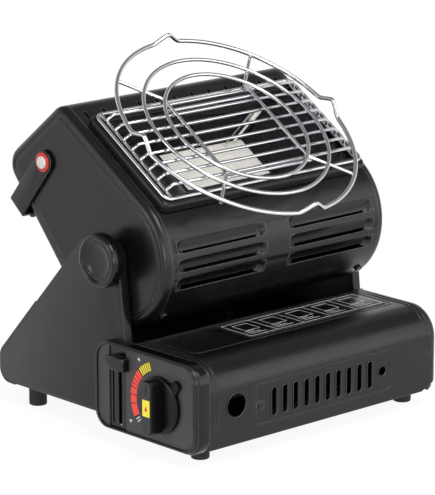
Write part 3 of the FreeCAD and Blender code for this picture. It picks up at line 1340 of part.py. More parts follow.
def heat_shield():
    """Sheet below the burner, turned up at both ends against the caps."""
    piece = new_body("heat_shield")
    area = new_sketch(piece, "XY_Plane", "-shield_drop")
    rectangle(area, "-(head_half - steel - fit)", "-20", "head_half - steel - fit", "112")
    pad(piece, area, "steel")
    for side in ("-", ""):
        tab = new_sketch(piece, "YZ_Plane", side + "(head_half - 2 * steel - fit)")
        rectangle(tab, "10", "-shield_drop", "100", "-shield_drop + 10")
        pad(piece, tab, "steel", backwards=side == "-")
    in_head(piece)


# Wires over the burner


def grille():
    """Eight bars with bent ends on two side wires and a frame wire that lies on the surround."""
    radius = size("wire_radius")
    half = size("side_wire")
    low, high = size("frame_low"), size("frame_high")
    level, top = size("side_wire_up"), size("bar_up")
    shapes = []
    for number in range(int(size("bar_count"))):
        along_plate = size("bar_first") + number * size("bar_pitch")
        points = [(-half, along_plate, level + 0.6), (-half, along_plate, top),
                  (half, along_plate, top), (half, along_plate, level + 0.6)]
        shapes.append(bent_wire(points, 4, radius))
    for side in (-1, 1):
        start = (side * half, low + 0.6, level)
        shapes.append(cylinder_along((0, 1, 0), radius + 0.1, start, high - low - 1.2))
    wide = size("frame_half")
    loop = [Vector(0, low, level), Vector(wide, low, level), Vector(wide, high, level),
            Vector(-wide, high, level), Vector(-wide, low, level)]
    shapes.append(tube(rounded_edges(loop, [0, 6, 6, 6, 6]), radius))
    piece = feature_from("grille", shapes[0].multiFuse(shapes[1:]))
    in_head(piece)


def kinked_quarter(turn):
    """A quarter of the outer ring between the tips of two raised kinks."""
    radius = size("outer_ring")
    level = size("bar_up + wire_radius + rest_gap + 2 * arm_wire + ring_wire - weld")
    middle = size("ring_along")

    def place(angle, rise=0):
        spin = math.radians(angle)
        return Vector(radius * math.cos(spin), middle + radius * math.sin(spin), level + rise)

    half = size("kink_half")
    rise = size("kink_rise")
    wire = size("ring_wire")
    first, second = place(turn, rise), place(turn + half)
    third, fourth = place(turn + 90 - half), place(turn + 90, rise)
    curve = tube([Part.Arc(second, place(turn + 45), third).toShape()], wire)
    legs = [Part.makeCylinder(wire, (end - start).Length, start, end - start)
            for start, end in ((first, second), (fourth, third))]
    balls = [Part.makeSphere(wire, spot) for spot in (first, second, third)]
    return [curve] + legs + balls


def pot_support():
    """Three rings on two long wires with slanting arms, kept in place by cross wires and studs."""
    middle = size("ring_along")
    arm = size("arm_wire")
    thin = size("thin_ring_wire")
    long_level = size("bar_up + wire_radius + rest_gap") + arm
    thin_level = long_level + arm + thin - size("weld")
    shapes = []
    for turn in (0, 90, 180, 270):
        shapes.extend(kinked_quarter(turn))
    for ring in (size("middle_ring"), size("inner_ring")):
        shapes.append(Part.makeTorus(ring, thin, Vector(0, middle, thin_level)))
    across = size("arm_across")
    reach = size("outer_ring") / math.sqrt(2)
    for side in (-1, 1):
        points = [(side * reach, middle - reach, long_level), (side * across, middle - across, long_level),
                  (side * across, middle + across, long_level), (side * reach, middle + reach, long_level)]
        shapes.append(bent_wire(points, size("arm_bend"), arm))
        stud = (side * (across - 0.5), middle + across - 0.3, size("bar_up") - 2.5)
        shapes.append(cylinder_along((0, 0, 1), size("stud_wire"), stud, long_level - stud[2]))
    cross = size("cross_wire")
    cross_level = long_level - arm - cross + size("weld")
    for along_plate in (size("cross_high"), size("cross_low")):
        start = (-across - 2 * cross, along_plate, cross_level)
        shapes.append(cylinder_along((1, 0, 0), cross, start, 2 * across + 4 * cross))
    piece = feature_from("pot_support", shapes[0].multiFuse(shapes[1:]))
    in_head(piece)


# Handle


def in_handle(piece):
    """The handle's own frame: X along the heater, Z from the grip up to the pivots."""
    in_head(piece, "0", "handle_along", "handle_up", extra="handle_angle")


def handle_frame():
    """Bent steel strap: two arms and the bar behind the head."""
    piece = new_body("handle_frame")
    outer = "(head_half + 0.3 + strap_thick)"
    lowest = "-(handle_reach + strap_thick / 2)"
    front = new_sketch(piece, "XZ_Plane", "-strap_width / 2")
    outline(front, [("-%s" % outer, "strap_width / 2"), ("-%s" % outer, lowest), (outer, lowest),
                    (outer, "strap_width / 2"), ("%s - strap_thick" % outer, "strap_width / 2"),
                    ("%s - strap_thick" % outer, lowest + " + strap_thick"),
                    ("-%s + strap_thick" % outer, lowest + " + strap_thick"),
                    ("-%s + strap_thick" % outer, "strap_width / 2")])
    pad(piece, front, "strap_width")
    fillet(piece, "strap_width / 2 - 0.1", lambda edge: along(edge, "X")
           and near(edge.BoundBox.ZMax, "strap_width / 2"))
    fillet(piece, "4", lambda edge: along(edge, "Y") and near(edge.BoundBox.ZMax, lowest))
    hole = new_sketch(piece, "YZ_Plane", "-head_half - 20")
    circle(hole, "0", "0", "handle_screw + running")
    pocket(piece, hole, "2 * head_half + 40", along_normal=True)
    in_handle(piece)


def handle_grip():
    """Moulded grip round the bar of the handle."""
    piece = new_body("handle_grip")
    section = new_sketch(piece, "YZ_Plane", "-grip_half")
    rectangle(section, "-grip_width / 2 - strap_thick", "-handle_reach - grip_thick / 2",
              "grip_width / 2 + strap_thick", "-handle_reach + grip_thick / 2")
    pad(piece, section, "2 * grip_half")
    fillet(piece, "grip_thick / 2 - 0.5", lambda edge: along(edge, "X"))
    bar = new_sketch(piece, "YZ_Plane", "-grip_half - 1")
    rectangle(bar, "-strap_width / 2 - 0.05", "-handle_reach - strap_thick / 2 - 0.05",
              "strap_width / 2 + 0.05", "-handle_reach + strap_thick / 2 + 0.05")
    pocket(piece, bar, "2 * grip_half + 2", along_normal=True)
    in_handle(piece)


def handle_fittings():
    """Pivot screws of the handle, their red washers and their white caps."""
    arm_out = size("head_half + 0.3 + strap_thick")
    screw, washers, caps = [], [], []
    for side in (-1, 1):
        shank_start = (side * size("head_half - cap_depth + 1"), 0, 0)
        shank = cylinder_along((side, 0, 0), size("handle_screw"), shank_start,
                               arm_out + 1.2 - size("head_half - cap_depth + 1"))
        head = cylinder_along((side, 0, 0), 4.5, (side * (arm_out + 1.2), 0, 0), 1.2)
        screw.append(shank.fuse(head))
        washer = cylinder_along((side, 0, 0), 8.4, (side * (arm_out + 0.1), 0, 0), 1.1)
        washers.append(washer.cut(cylinder_along((side, 0, 0), 2.6, (side * arm_out, 0, 0), 3)))
        cap = cylinder_along((side, 0, 0), 6.0, (side * (arm_out + 1.2), 0, 0), 2.4)
        caps.append(cap.cut(cylinder_along((side, 0, 0), 4.6, (side * (arm_out + 1.1), 0, 0), 1.35)))
    for label, shapes in (("handle_screws", screw), ("handle_washers", washers), ("handle_caps", caps)):
        piece = feature_from(label, Part.makeCompound(shapes))
        in_head(piece, "0", "handle_along", "handle_up")


def head_bolts():
    """Small round-headed bolts low on the drum near its ends."""
    shapes = []
    for foot, out in bolt_places():
        shank = Part.makeCylinder(size("bolt_radius"), 5.2, foot, out)
        head = Part.makeCylinder(3.2, 2.2, foot + out * 5.2, out)
        shapes.append(shank.fuse(head))
    piece = feature_from("head_bolts", Part.makeCompound(shapes))
    in_head(piece)


cartridge_tray()
base_pan()
side_bracket("left_bracket", -1)
side_bracket("right_bracket", 1)
back_cover()
feet()
foot_screws()
cartridge_lid()
label_plate()
hinge_pins()
control_bezel()
valve_plate()
valve_body()
piezo_igniter()
cartridge_cradle()
gas_knob()
knob_mark()
valve_spindle()
lock_lever()
lock_plate()
gas_pipe()
bearing_ring("banjo_ring", -1)
bearing_ring("pivot_spacer", 1)
friction_washers()
tilt_stud("left_tilt_stud", -1)
tilt_stud("right_tilt_stud", 1)
tilt_knob("left_tilt_knob", -1)
tilt_knob("right_tilt_knob", 1)
knob_insert("left_knob_insert", -1)
knob_insert("right_knob_insert", 1)
head_shell()
back_panel()
end_cap("left_end_cap", -1)
end_cap("right_end_cap", 1)
burner_surround()
reflector()
ceramic_plaque()
burner_box()
mixing_tube()
gas_feed_tube()
gas_jet()
electrode("ignition_electrode", 0, size("rod_radius"))
electrode("flame_probe", size("probe_beside"), size("probe_radius"))
electrode_bracket()
heat_shield()
grille()
pot_support()
handle_frame()
handle_grip()
handle_fittings()
head_bolts()

doc.recompute()
faults = [item.Name for item in doc.Objects if "Invalid" in item.State or "Error" in item.State]
faults += [piece.Label for piece in PIECES if piece.Shape.isNull() or not piece.Shape.isValid()]
if faults:
    raise ValueError("failed pieces: " + ", ".join(faults))
os.makedirs("parts", exist_ok=True)
for piece in PIECES:
    piece.Shape.exportStep("parts/%s.step" % piece.Label)
whole = Part.makeCompound([piece.Shape for piece in PIECES]).BoundBox
print("pieces %d, X %.1f to %.1f, Y %.1f to %.1f, Z %.1f to %.1f" % (
    len(PIECES), whole.XMin, whole.XMax, whole.YMin, whole.YMax, whole.ZMin, whole.ZMax))
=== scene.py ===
import json
import math

import bmesh
import bpy
from bpy.props import FloatProperty, FloatVectorProperty, IntProperty, PointerProperty
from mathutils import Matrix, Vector


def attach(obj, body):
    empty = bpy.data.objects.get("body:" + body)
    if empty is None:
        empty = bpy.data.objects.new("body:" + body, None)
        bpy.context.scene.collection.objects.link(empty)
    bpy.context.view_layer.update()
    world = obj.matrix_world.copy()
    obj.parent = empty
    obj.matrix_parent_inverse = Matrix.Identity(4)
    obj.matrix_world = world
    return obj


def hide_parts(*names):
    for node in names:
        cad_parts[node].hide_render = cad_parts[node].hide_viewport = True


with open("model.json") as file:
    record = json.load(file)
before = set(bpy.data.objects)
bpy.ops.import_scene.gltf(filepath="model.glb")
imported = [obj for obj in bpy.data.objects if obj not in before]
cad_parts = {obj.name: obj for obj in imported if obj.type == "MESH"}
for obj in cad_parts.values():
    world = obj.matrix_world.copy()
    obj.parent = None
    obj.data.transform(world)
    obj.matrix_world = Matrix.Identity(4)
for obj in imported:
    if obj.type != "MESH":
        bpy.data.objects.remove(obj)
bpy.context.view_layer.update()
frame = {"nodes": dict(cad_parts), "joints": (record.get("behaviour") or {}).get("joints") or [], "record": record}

bl_info = {
    "name": "Portable Gas Heater",
    "version": (1, 0, 0),
    "blender": (4, 5, 0),
    "location": "3D View > Sidebar > Heater",
    "description": "Dresses the tilting gas heater: sheet metal, controls, burner, wires and stage",
    "category": "Object",
}

JOINTS = {joint["name"]: joint for joint in frame["joints"]}
PIVOT = Vector(JOINTS["head_tilt"]["pos_m"])
# The base frame has its zero in the middle of the base, on the lid's front face, on the floor.
# PIVOT_Y and PIVOT_Z say how far the head's pivot lies behind and above it, in millimetres.
PIVOT_Y, PIVOT_Z = 120.0, 155.0
BASE_ZERO = PIVOT - Vector((0.0, PIVOT_Y, PIVOT_Z)) / 1000
TILT = math.radians(32.5)


# Colours


def linear(code):
    """Turns an sRGB hex colour such as "1c1c1d" into linear red, green and blue."""
    channels = [int(code[at:at + 2], 16) / 255 for at in (0, 2, 4)]
    return [c / 12.92 if c <= 0.04045 else ((c + 0.055) / 1.055) ** 2.4 for c in channels]


# Sizes and colours that a user would change


def length(name, default_mm, description):
    return FloatProperty(name=name, description=description, default=default_mm / 1000, unit="LENGTH",
                         min=0.0, precision=5)


def colour(name, code, description):
    return FloatVectorProperty(name=name, description=description, subtype="COLOR", size=3,
                               default=linear(code), min=0.0, max=1.0)


class HeaterSizes(bpy.types.PropertyGroup):
    grille_wire: length("Grille wire", 1.5, "Radius of the grille's wires")
    side_wire: length("Side wire", 1.6, "Radius of the two wires that carry the bars")
    bar_pitch: length("Bar pitch", 12.5, "Distance from one grille bar to the next")
    bar_count: IntProperty(name="Bars", description="Number of grille bars", default=8, min=1)
    outer_ring_wire: length("Outer ring wire", 1.9, "Wire radius of the outer pot ring")
    small_ring_wire: length("Small ring wire", 1.7, "Wire radius of the middle and inner pot rings")
    arm_wire: length("Arm wire", 1.6, "Radius of the long wires with slanting arms")
    bead_height: length("Bead height", 0.55, "Height of the pressed beads on the lid")
    plaque_holes: IntProperty(name="Plaque hole rows", description="Rows of flame holes in the plaque",
                              default=21, min=4)


class HeaterColours(bpy.types.PropertyGroup):
    coat: colour("Powder coat", "0c0c0d", "Satin black coating on the sheet steel")
    gloss_black: colour("Gloss black", "070708", "Glossy moulded black of the bezel rim and knobs")
    panel: colour("Panel", "444445", "Dark grey control panel")
    chrome: colour("Chrome", "d4d5d8", "Chrome plate on the wires")
    ceramic: colour("Ceramic", "fffdf8", "Unglazed white ceramic")
    yellow: colour("Yellow print", "fff03a", "Yellow print on the dial and the knob")
    red: colour("Red print", "fb483d", "Red print on the dial")


# Places


def base_point(x, y, z):
    """A place in the base frame, given in millimetres."""
    return BASE_ZERO + Vector((x, y, z)) / 1000


def head_point(x, w, n):
    """A place in the head frame in millimetres: w runs up the face plate and n out of it."""
    back = w * math.cos(TILT) - n * math.sin(TILT)
    up = w * math.sin(TILT) + n * math.cos(TILT)
    return PIVOT + Vector((x, back, up)) / 1000


def head_step(w):
    """A step of w millimetres up the face plate."""
    return head_point(0, w, 0) - head_point(0, 0, 0)


# Materials


def add(tree, kind, inputs=None, **settings):
    """Adds a node with its settings; inputs name a value or the output socket that feeds them."""
    node = tree.nodes.new(kind)
    for name, value in settings.items():
        setattr(node, name, value)
    for name, value in (inputs or {}).items():
        if isinstance(value, bpy.types.NodeSocket):
            tree.links.new(value, node.inputs[name])
        else:
            node.inputs[name].default_value = value
    return node


def new_material(name):
    """An empty node material with its output, and its object coordinates in metres."""
    material = bpy.data.materials.new(name)
    material.use_nodes = True
    tree = material.node_tree
    tree.nodes.clear()
    place = add(tree, "ShaderNodeTexCoord").outputs["Object"]
    return material, tree, place


def finish_surface(tree, colour_socket, roughness, bump=None, **sockets):
    """Joins a principled shader to the output. Extra sockets are plain numbers."""
    inputs = {"Base Color": colour_socket, "Roughness": roughness}
    inputs.update({name.replace("_", " "): value for name, value in sockets.items()})
    if bump is not None:
        inputs["Normal"] = bump
    shader = add(tree, "ShaderNodeBsdfPrincipled", inputs)
    add(tree, "ShaderNodeOutputMaterial", {"Surface": shader.outputs["BSDF"]})


def speckle(tree, place, scale, detail=2.0):
    """A noise pattern with about scale waves to the metre."""
    inputs = {"Vector": place, "Scale": scale, "Detail": detail}
    return add(tree, "ShaderNodeTexNoise", inputs).outputs["Fac"]


def spread(tree, value, low, high, new_low, new_high):
    """Maps a value from one range to another."""
    inputs = {"Value": value, "From Min": low, "From Max": high, "To Min": new_low, "To Max": new_high}
    return add(tree, "ShaderNodeMapRange", inputs).outputs["Result"]


def shade_between(tree, factor, first, second):
    """Mixes two colours by a factor from 0 to 1."""
    mix = add(tree, "ShaderNodeMix", data_type="RGBA")
    tree.links.new(factor, mix.inputs["Factor"])
    mix.inputs["A"].default_value = (*first, 1)
    mix.inputs["B"].default_value = (*second, 1)
    return [socket for socket in mix.outputs if socket.type == "RGBA"][0]


def bump_from(tree, height, strength, distance, under=None):
    """Turns a pattern into relief, on top of another normal if one is given."""
    inputs = {"Height": height, "Strength": strength, "Distance": distance}
    if under is not None:
        inputs["Normal"] = under
    return add(tree, "ShaderNodeBump", inputs).outputs["Normal"]


def looked_at(tree):
    """Is 1 for what the camera sees directly, in a mirror or through glass, and 0 for other rays."""
    rays = add(tree, "ShaderNodeLightPath").outputs
    seen = rays["Is Camera Ray"]
    for kind in ("Is Glossy Ray", "Is Transmission Ray"):
        either = add(tree, "ShaderNodeMath", {0: seen, 1: rays[kind]}, operation="MAXIMUM")
        seen = either.outputs["Value"]
    return seen


def edge_wear_and_highlight(tree, base, edge_wear_and_highlight_colour, amount, reach):
    """A colour that lightens within reach of a sharp edge, partly as wear and partly as a painted highlight along
    it, and the normal that rounds that edge.
    """
    rounded = add(tree, "ShaderNodeBevel", {"Radius": reach}, samples=4).outputs["Normal"]
    plain = add(tree, "ShaderNodeNewGeometry").outputs["Normal"]
    likeness = add(tree, "ShaderNodeVectorMath", {0: rounded, 1: plain}, operation="DOT_PRODUCT")
    # The lighter colour, part wear and part painted highlight, begins where the two normals are about 11 degrees
    # apart and is full at 35.
    factor = spread(tree, likeness.outputs["Value"], 0.98, 0.82, 0.0, amount)
    return shade_between(tree, factor, base, edge_wear_and_highlight_colour), rounded


def scaled(shade, factor):
    """A colour with each channel times a factor."""
    return [channel * factor for channel in shade]


def speckled(name, scale, detail, shades, roughness, relief, stretch=None, **sockets):
    """A finish whose colour, roughness and relief follow one noise pattern.

    Shades and roughness are given for the pattern's low and high, relief as strength and depth.
    """
    material, tree, place = new_material(name)
    if stretch:
        place = add(tree, "ShaderNodeMapping", {"Vector": place, "Scale": stretch}).outputs["Vector"]
    pattern = speckle(tree, place, scale, detail)
    base = shade_between(tree, pattern, *shades)
    rough = spread(tree, pattern, 0.3, 0.7, *roughness)
    finish_surface(tree, base, rough, bump_from(tree, pattern, *relief), **sockets)
    return material


def powder_coat(colours):
    """Polyester powder coat baked on sheet steel: satin black with a fine orange peel."""
    material, tree, place = new_material("powder_coated_steel")
    # The edges lighten towards pale grey: partly wear, partly a painted highlight along them.
    base, rounded = edge_wear_and_highlight(tree, colours.coat, linear("77777b"), 0.8, 0.0009)
    # The orange peel of such a coat is about 1.2 mm from crest to crest.
    peel = speckle(tree, place, 800.0, 1.0)
    smudge = speckle(tree, place, 22.0, 3.0)
    rough = spread(tree, smudge, 0.3, 0.7, 0.24, 0.35)
    finish_surface(tree, base, rough, bump_from(tree, peel, 0.10, 0.0003, rounded), IOR=1.42)
    return material


def gloss_abs(colours):
    """Moulded ABS from a polished tool: deep black with sharp reflections."""
    material, tree, place = new_material("polished_moulded_abs")
    # The edges and ridges lighten towards grey: a painted highlight along them.
    base, rounded = edge_wear_and_highlight(tree, colours.gloss_black, linear("6a6a6e"), 0.6, 0.0014)
    flow = speckle(tree, place, 60.0, 2.0)
    rough = spread(tree, flow, 0.3, 0.7, 0.16, 0.22)
    finish_surface(tree, base, rough, bump_from(tree, flow, 0.03, 0.0004, rounded), IOR=1.42)
    return material


def textured_abs(name, plain, roughness):
    """Moulded ABS from a spark-eroded tool: a fine even grain, about 0.4 mm, that dulls the face."""
    return speckled(name, 2400.0, 2.0, (plain, scaled(plain, 1.25)),
                    (roughness - 0.04, roughness + 0.05), (0.25, 0.0001), IOR=1.3)


def chrome_wire(colours):
    """Nickel-chrome plate on drawn steel wire: bright, a little milky from the drawing marks."""
    return speckled("chrome_plated_wire", 300.0, 3.0, (scaled(colours.chrome, 0.88), colours.chrome),
                    (0.12, 0.22), (0.04, 0.0003), Metallic=1.0)


def rolled_sheet(name, code, roughness):
    """Cold-rolled bright sheet: fine streaks along the rolling direction, here X."""
    shade = linear(code)
    return speckled(name, 1040.0, 4.0, (scaled(shade, 0.8), shade), (roughness - 0.05, roughness + 0.07),
                    (0.06, 0.0003), stretch=(0.04, 1.0, 1.0), Metallic=1.0)


def cast_metal(name, code, roughness):
    """Machined or cast metal with a slight mottle."""
    shade = linear(code)
    return speckled(name, 180.0, 3.0, (scaled(shade, 0.75), shade), (roughness - 0.06, roughness + 0.08),
                    (0.08, 0.0003), Metallic=1.0)


def cordierite(colours):
    """Unglazed cordierite burner plaque: chalky white with warm grains."""
    material, tree, place = new_material("cordierite_plaque")
    grain = speckle(tree, place, 420.0, 4.0)
    share = spread(tree, grain, 0.42, 0.62, 0.0, 1.0)
    base = shade_between(tree, share, linear("f1ede4"), colours.ceramic)
    finish_surface(tree, base, 0.85, bump_from(tree, grain, 0.3, 0.0004), IOR=1.5)
    return material


def soft_rubber(name):
    """Moulded rubber foot: dull black with a dusty bloom."""
    return speckled(name, 90.0, 4.0, (linear("0e0e0e"), linear("1d1d1c")), (0.8, 0.8), (0.15, 0.0004),
                    IOR=1.52)


def printed_ink(name, plain, roughness=0.45):
    """Screen-printed ink: opaque, with the faint mesh of the screen, about 0.5 mm."""
    return speckled(name, 2000.0, 1.0, (scaled(plain, 0.9), plain), (roughness, roughness),
                    (0.05, 0.0001), IOR=1.5)


def moulded_nylon(name, code):
    """Moulded nylon: slightly waxy, with a soft sheen."""
    shade = linear(code)
    return speckled(name, 150.0, 3.0, (scaled(shade, 0.88), shade), (0.42, 0.42), (0.06, 0.0003),
                    IOR=1.53)


# The finishes by name, each made from the colours that a user can change
FINISHES = {
    "coat": powder_coat,
    "gloss": gloss_abs,
    "chrome": chrome_wire,
    "ceramic": cordierite,
    "panel": lambda colours: textured_abs("textured_panel_abs", colours.panel, 0.5),
    "knob": lambda colours: textured_abs("fine_textured_abs", linear("060606"), 0.3),
    # A lighter grey for the knob's lit faces: painted light on the black plastic.
    "knob_face": lambda colours: textured_abs("satin_abs_painted_lit", linear("34343a"), 0.4),
    "engraved": lambda colours: textured_abs("shadowed_engraving", linear("060606"), 0.6),
    "zinc": lambda colours: rolled_sheet("zinc_plated_steel", "b4b4b2", 0.38),
    "heated": lambda colours: rolled_sheet("heat_tinted_steel", "3e3e41", 0.24),
    "brass": lambda colours: cast_metal("turned_brass", "b48a48", 0.3),
    "alloy": lambda colours: cast_metal("drawn_aluminium_tube", "b9babc", 0.34),
    "rubber": lambda colours: soft_rubber("nitrile_rubber"),
    "fibre": lambda colours: moulded_nylon("pressed_fibre", "4a3526"),
    "red_nylon": lambda colours: moulded_nylon("red_nylon_washer", "c8281e"),
    "white_nylon": lambda colours: moulded_nylon("white_nylon_cap", "dcdcd8"),
    "yellow": lambda colours: printed_ink("yellow_screen_ink", colours.yellow),
    "red": lambda colours: printed_ink("red_screen_ink", colours.red),
    "white": lambda colours: printed_ink("white_screen_ink", linear("e9e9e6")),
    "drop": lambda colours: printed_ink("orange_screen_ink", linear("d8531c")),
    "pit": lambda colours: printed_ink("shaded_flame_hole", linear("c4beb3"), 0.9),
}
MATERIALS = {}


def finish(name):
    """The named finish, made once."""
    if name not in MATERIALS:
        MATERIALS[name] = FINISHES[name](bpy.context.scene.heater_colours)
    return MATERIALS[name]


# Making pieces


def smooth(mesh, angle=32.0):
    """Smooth shading with sharp edges kept."""
    mesh.polygons.foreach_set("use_smooth", [True] * len(mesh.polygons))
    mesh.set_sharp_from_angle(angle=math.radians(angle))


def place_piece(obj, body, finish_name, replaced=(), angle=32.0):
    """Gives a piece its shading, material and body, and hides the CAD nodes it stands for."""
    smooth(obj.data, angle)
    obj.data.materials.clear()
    obj.data.materials.append(finish(finish_name))
    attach(obj, body)
    if replaced:
        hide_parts(*replaced)
    return obj


def linked(name, data):
    """A new object in the scene."""
    obj = bpy.data.objects.new(name, data)
    bpy.context.scene.collection.objects.link(obj)
    return obj


def mesh_object(name, points, faces):
    """A mesh from points in metres and faces, with its faces turned outwards."""
    mesh = bpy.data.meshes.new(name)
    mesh.from_pydata([tuple(point) for point in points], [], faces)
    shape = bmesh.new()
    shape.from_mesh(mesh)
    bmesh.ops.remove_doubles(shape, verts=shape.verts, dist=1e-6)
    bmesh.ops.recalc_face_normals(shape, faces=shape.faces)
    shape.to_mesh(mesh)
    shape.free()
    return linked(name, mesh)


def bake(obj):
    """Turns an object and its modifiers into a plain mesh."""
    graph = bpy.context.evaluated_depsgraph_get()
    mesh = bpy.data.meshes.new_from_object(obj.evaluated_get(graph))
    obj.modifiers.clear()
    obj.data = mesh
    return obj


def add_modifier(obj, kind, **settings):
    modifier = obj.modifiers.new(kind.lower(), kind)
    for name, value in settings.items():
        setattr(modifier, name, value)
    return modifier


def merged_copy(node, name, bevel=0.0):
    """A copy of a CAD node with its loose triangles joined and, if asked, its edges rounded."""
    mesh = frame["nodes"][node].data.copy()
    mesh.name = name
    shape = bmesh.new()
    shape.from_mesh(mesh)
    bmesh.ops.remove_doubles(shape, verts=shape.verts, dist=2e-6)
    bmesh.ops.dissolve_limit(shape, angle_limit=math.radians(0.6), verts=shape.verts,
                             edges=shape.edges)
    shape.to_mesh(mesh)
    shape.free()
    obj = linked(name, mesh)
    if bevel:
        add_modifier(obj, "BEVEL", width=bevel / 1000, segments=2, limit_method="ANGLE",
                     angle_limit=math.radians(50), use_clamp_overlap=True)
        bake(obj)
    return obj


def dress(finish_name, *nodes, bevel=0.0, angle=32.0):
    """Shows CAD nodes as smooth copies in one finish; a bevel in millimetres rounds their edges."""
    for node in nodes:
        obj = merged_copy(node, node + "_skin", bevel)
        place_piece(obj, body_of_node(node), finish_name, (node,), angle)


def body_of_node(node):
    for body, members in frame["record"]["behaviour"]["bodies"].items():
        if node in members:
            return body
    raise ValueError("no body holds " + node)


def lofted(name, loops, caps=True, ring=False):
    """Skins a row of closed loops that have the same number of points; a ring joins last to first."""
    loops = loops + loops[:1] if ring else loops
    count = len(loops[0])
    points = [point for loop in loops for point in loop]
    faces = []
    for row in range(len(loops) - 1):
        for step in range(count):
            after = (step + 1) % count
            faces.append((row * count + step, row * count + after,
                          (row + 1) * count + after, (row + 1) * count + step))
    if caps and not ring:
        faces.append(tuple(range(count))[::-1])
        faces.append(tuple((len(loops) - 1) * count + step for step in range(count)))
    return mesh_object(name, points, faces)


def turned(name, profile, place, steps=72):
    """A solid of revolution about X from (x, radius) pairs; place maps (x, across, up) to a point."""
    angles = [2 * math.pi * step / steps for step in range(steps)]
    loops = []
    for x, radius in profile:
        # A tip gets a tiny radius, and its points are merged later.
        reach = max(radius, 1e-4)
        loops.append([place(x, reach * math.cos(angle), reach * math.sin(angle)) for angle in angles])
    return lofted(name, loops)


def arc(centre, radius, first, last, steps):
    """Points round a centre in two directions, from one angle to another in radians."""
    angles = [first + (last - first) * step / steps for step in range(steps + 1)]
    return [(centre[0] + radius * math.cos(angle), centre[1] + radius * math.sin(angle))
            for angle in angles]


def rounded_loop(low_a, low_b, high_a, high_b, radius, per_corner=12):
    """Points round a rectangle with round corners, in two directions a and b."""
    corners = [(high_a - radius, high_b - radius), (low_a + radius, high_b - radius),
               (low_a + radius, low_b + radius), (high_a - radius, low_b + radius)]
    points = []
    for number, centre in enumerate(corners):
        start = math.radians(90 * number)
        points += arc(centre, radius, start, start + math.pi / 2, per_corner)
    return points


def cut(obj, *cutters):
    """Takes cutters out of a piece and removes them."""
    for cutter in cutters:
        add_modifier(obj, "BOOLEAN", operation="DIFFERENCE", object=cutter, solver="EXACT")
    bake(obj)
    for cutter in cutters:
        bpy.data.objects.remove(cutter)
    return obj


def block(name, low, high, place):
    """A box between two corners given in a frame's millimetres."""
    corners = [(x, y, z) for x in (low[0], high[0]) for y in (low[1], high[1])
               for z in (low[2], high[2])]
    faces = [(0, 1, 3, 2), (4, 6, 7, 5), (0, 4, 5, 1), (2, 3, 7, 6), (0, 2, 6, 4), (1, 5, 7, 3)]
    return mesh_object(name, [place(*corner) for corner in corners], faces)


def join(first, *others):
    """Joins pieces into the first one."""
    shape = bmesh.new()
    shape.from_mesh(first.data)
    for other in others:
        shape.from_mesh(other.data)
        bpy.data.objects.remove(other)
    shape.to_mesh(first.data)
    shape.free()
    return first


# Wires and dots, made by geometry nodes


def new_tree(name, inputs):
    """An empty geometry nodes tree and its inputs, which are given as names and kinds."""
    tree = bpy.data.node_groups.new(name, "GeometryNodeTree")
    for label, kind in inputs.items():
        tree.interface.new_socket(name=label, in_out="INPUT", socket_type="NodeSocket" + kind)
    tree.interface.new_socket(name="Result", in_out="OUTPUT", socket_type="NodeSocketGeometry")
    return tree, add(tree, "NodeGroupInput").outputs


def put_copies(tree, places, piece, material, **turning):
    """Puts a real copy of the piece on every point and sends the copies to the tree's output."""
    inputs = {"Points": places, "Instance": piece, **turning}
    copies = add(tree, "GeometryNodeInstanceOnPoints", inputs).outputs["Instances"]
    real = add(tree, "GeometryNodeRealizeInstances", {"Geometry": copies}).outputs["Geometry"]
    coated = add(tree, "GeometryNodeSetMaterial", {"Geometry": real, "Material": material})
    add(tree, "NodeGroupOutput", {"Result": coated.outputs["Geometry"]})


def grown(name, points, edges, tree, values):
    """Runs a geometry nodes tree over points and edges, and bakes what it makes."""
    mesh = bpy.data.meshes.new(name)
    mesh.from_pydata([tuple(point) for point in points], edges, [])
    obj = linked(name, mesh)
    modifier = add_modifier(obj, "NODES", node_group=tree)
    for socket in tree.interface.items_tree:
        if socket.in_out == "INPUT" and socket.name in values:
            modifier[socket.identifier] = values[socket.name]
    return bake(obj)


def wire_tree():
    """Cuts a path's corners at the bend radius, gives it a round section and repeats it in a line."""
    tree, given = new_tree("round_wires", {"Path": "Geometry", "Wire radius": "Float",
                                           "Bend radius": "Float", "Count": "Int", "Step": "Vector",
                                           "Finish": "Material"})
    path = add(tree, "GeometryNodeMeshToCurve", {"Mesh": given["Path"]}).outputs["Curve"]
    bent = add(tree, "GeometryNodeFilletCurve", {"Curve": path, "Radius": given["Bend radius"]},
               mode="POLY").outputs["Curve"]
    bend_wanted = add(tree, "FunctionNodeCompare", {0: given["Bend radius"], 1: 0.0},
                      data_type="FLOAT", operation="GREATER_THAN").outputs["Result"]
    chosen = add(tree, "GeometryNodeSwitch", {"Switch": bend_wanted, "False": path, "True": bent},
                 input_type="GEOMETRY").outputs["Output"]
    section = add(tree, "GeometryNodeCurvePrimitiveCircle",
                  {"Resolution": 16, "Radius": given["Wire radius"]}).outputs["Curve"]
    wire = add(tree, "GeometryNodeCurveToMesh",
               {"Curve": chosen, "Profile Curve": section, "Fill Caps": True}).outputs["Mesh"]
    line = add(tree, "GeometryNodeMeshLine", {"Count": given["Count"], "Offset": given["Step"]},
               mode="OFFSET").outputs["Mesh"]
    put_copies(tree, line, wire, given["Finish"])
    return tree


def wires(name, paths, radius, bend=0.0, count=1, step=(0, 0, 0), closed=False, finish_name="chrome"):
    """A mesh of round wires along paths given as lists of points in metres."""
    points, edges = [], []
    for path in paths:
        start = len(points)
        points.extend(path)
        edges.extend((start + at, start + at + 1) for at in range(len(path) - 1))
        if closed:
            edges.append((len(points) - 1, start))
    tree = bpy.data.node_groups.get("round_wires") or wire_tree()
    values = {"Wire radius": radius, "Bend radius": bend, "Count": count, "Step": tuple(step),
              "Finish": finish(finish_name)}
    return grown(name, points, edges, tree, values)


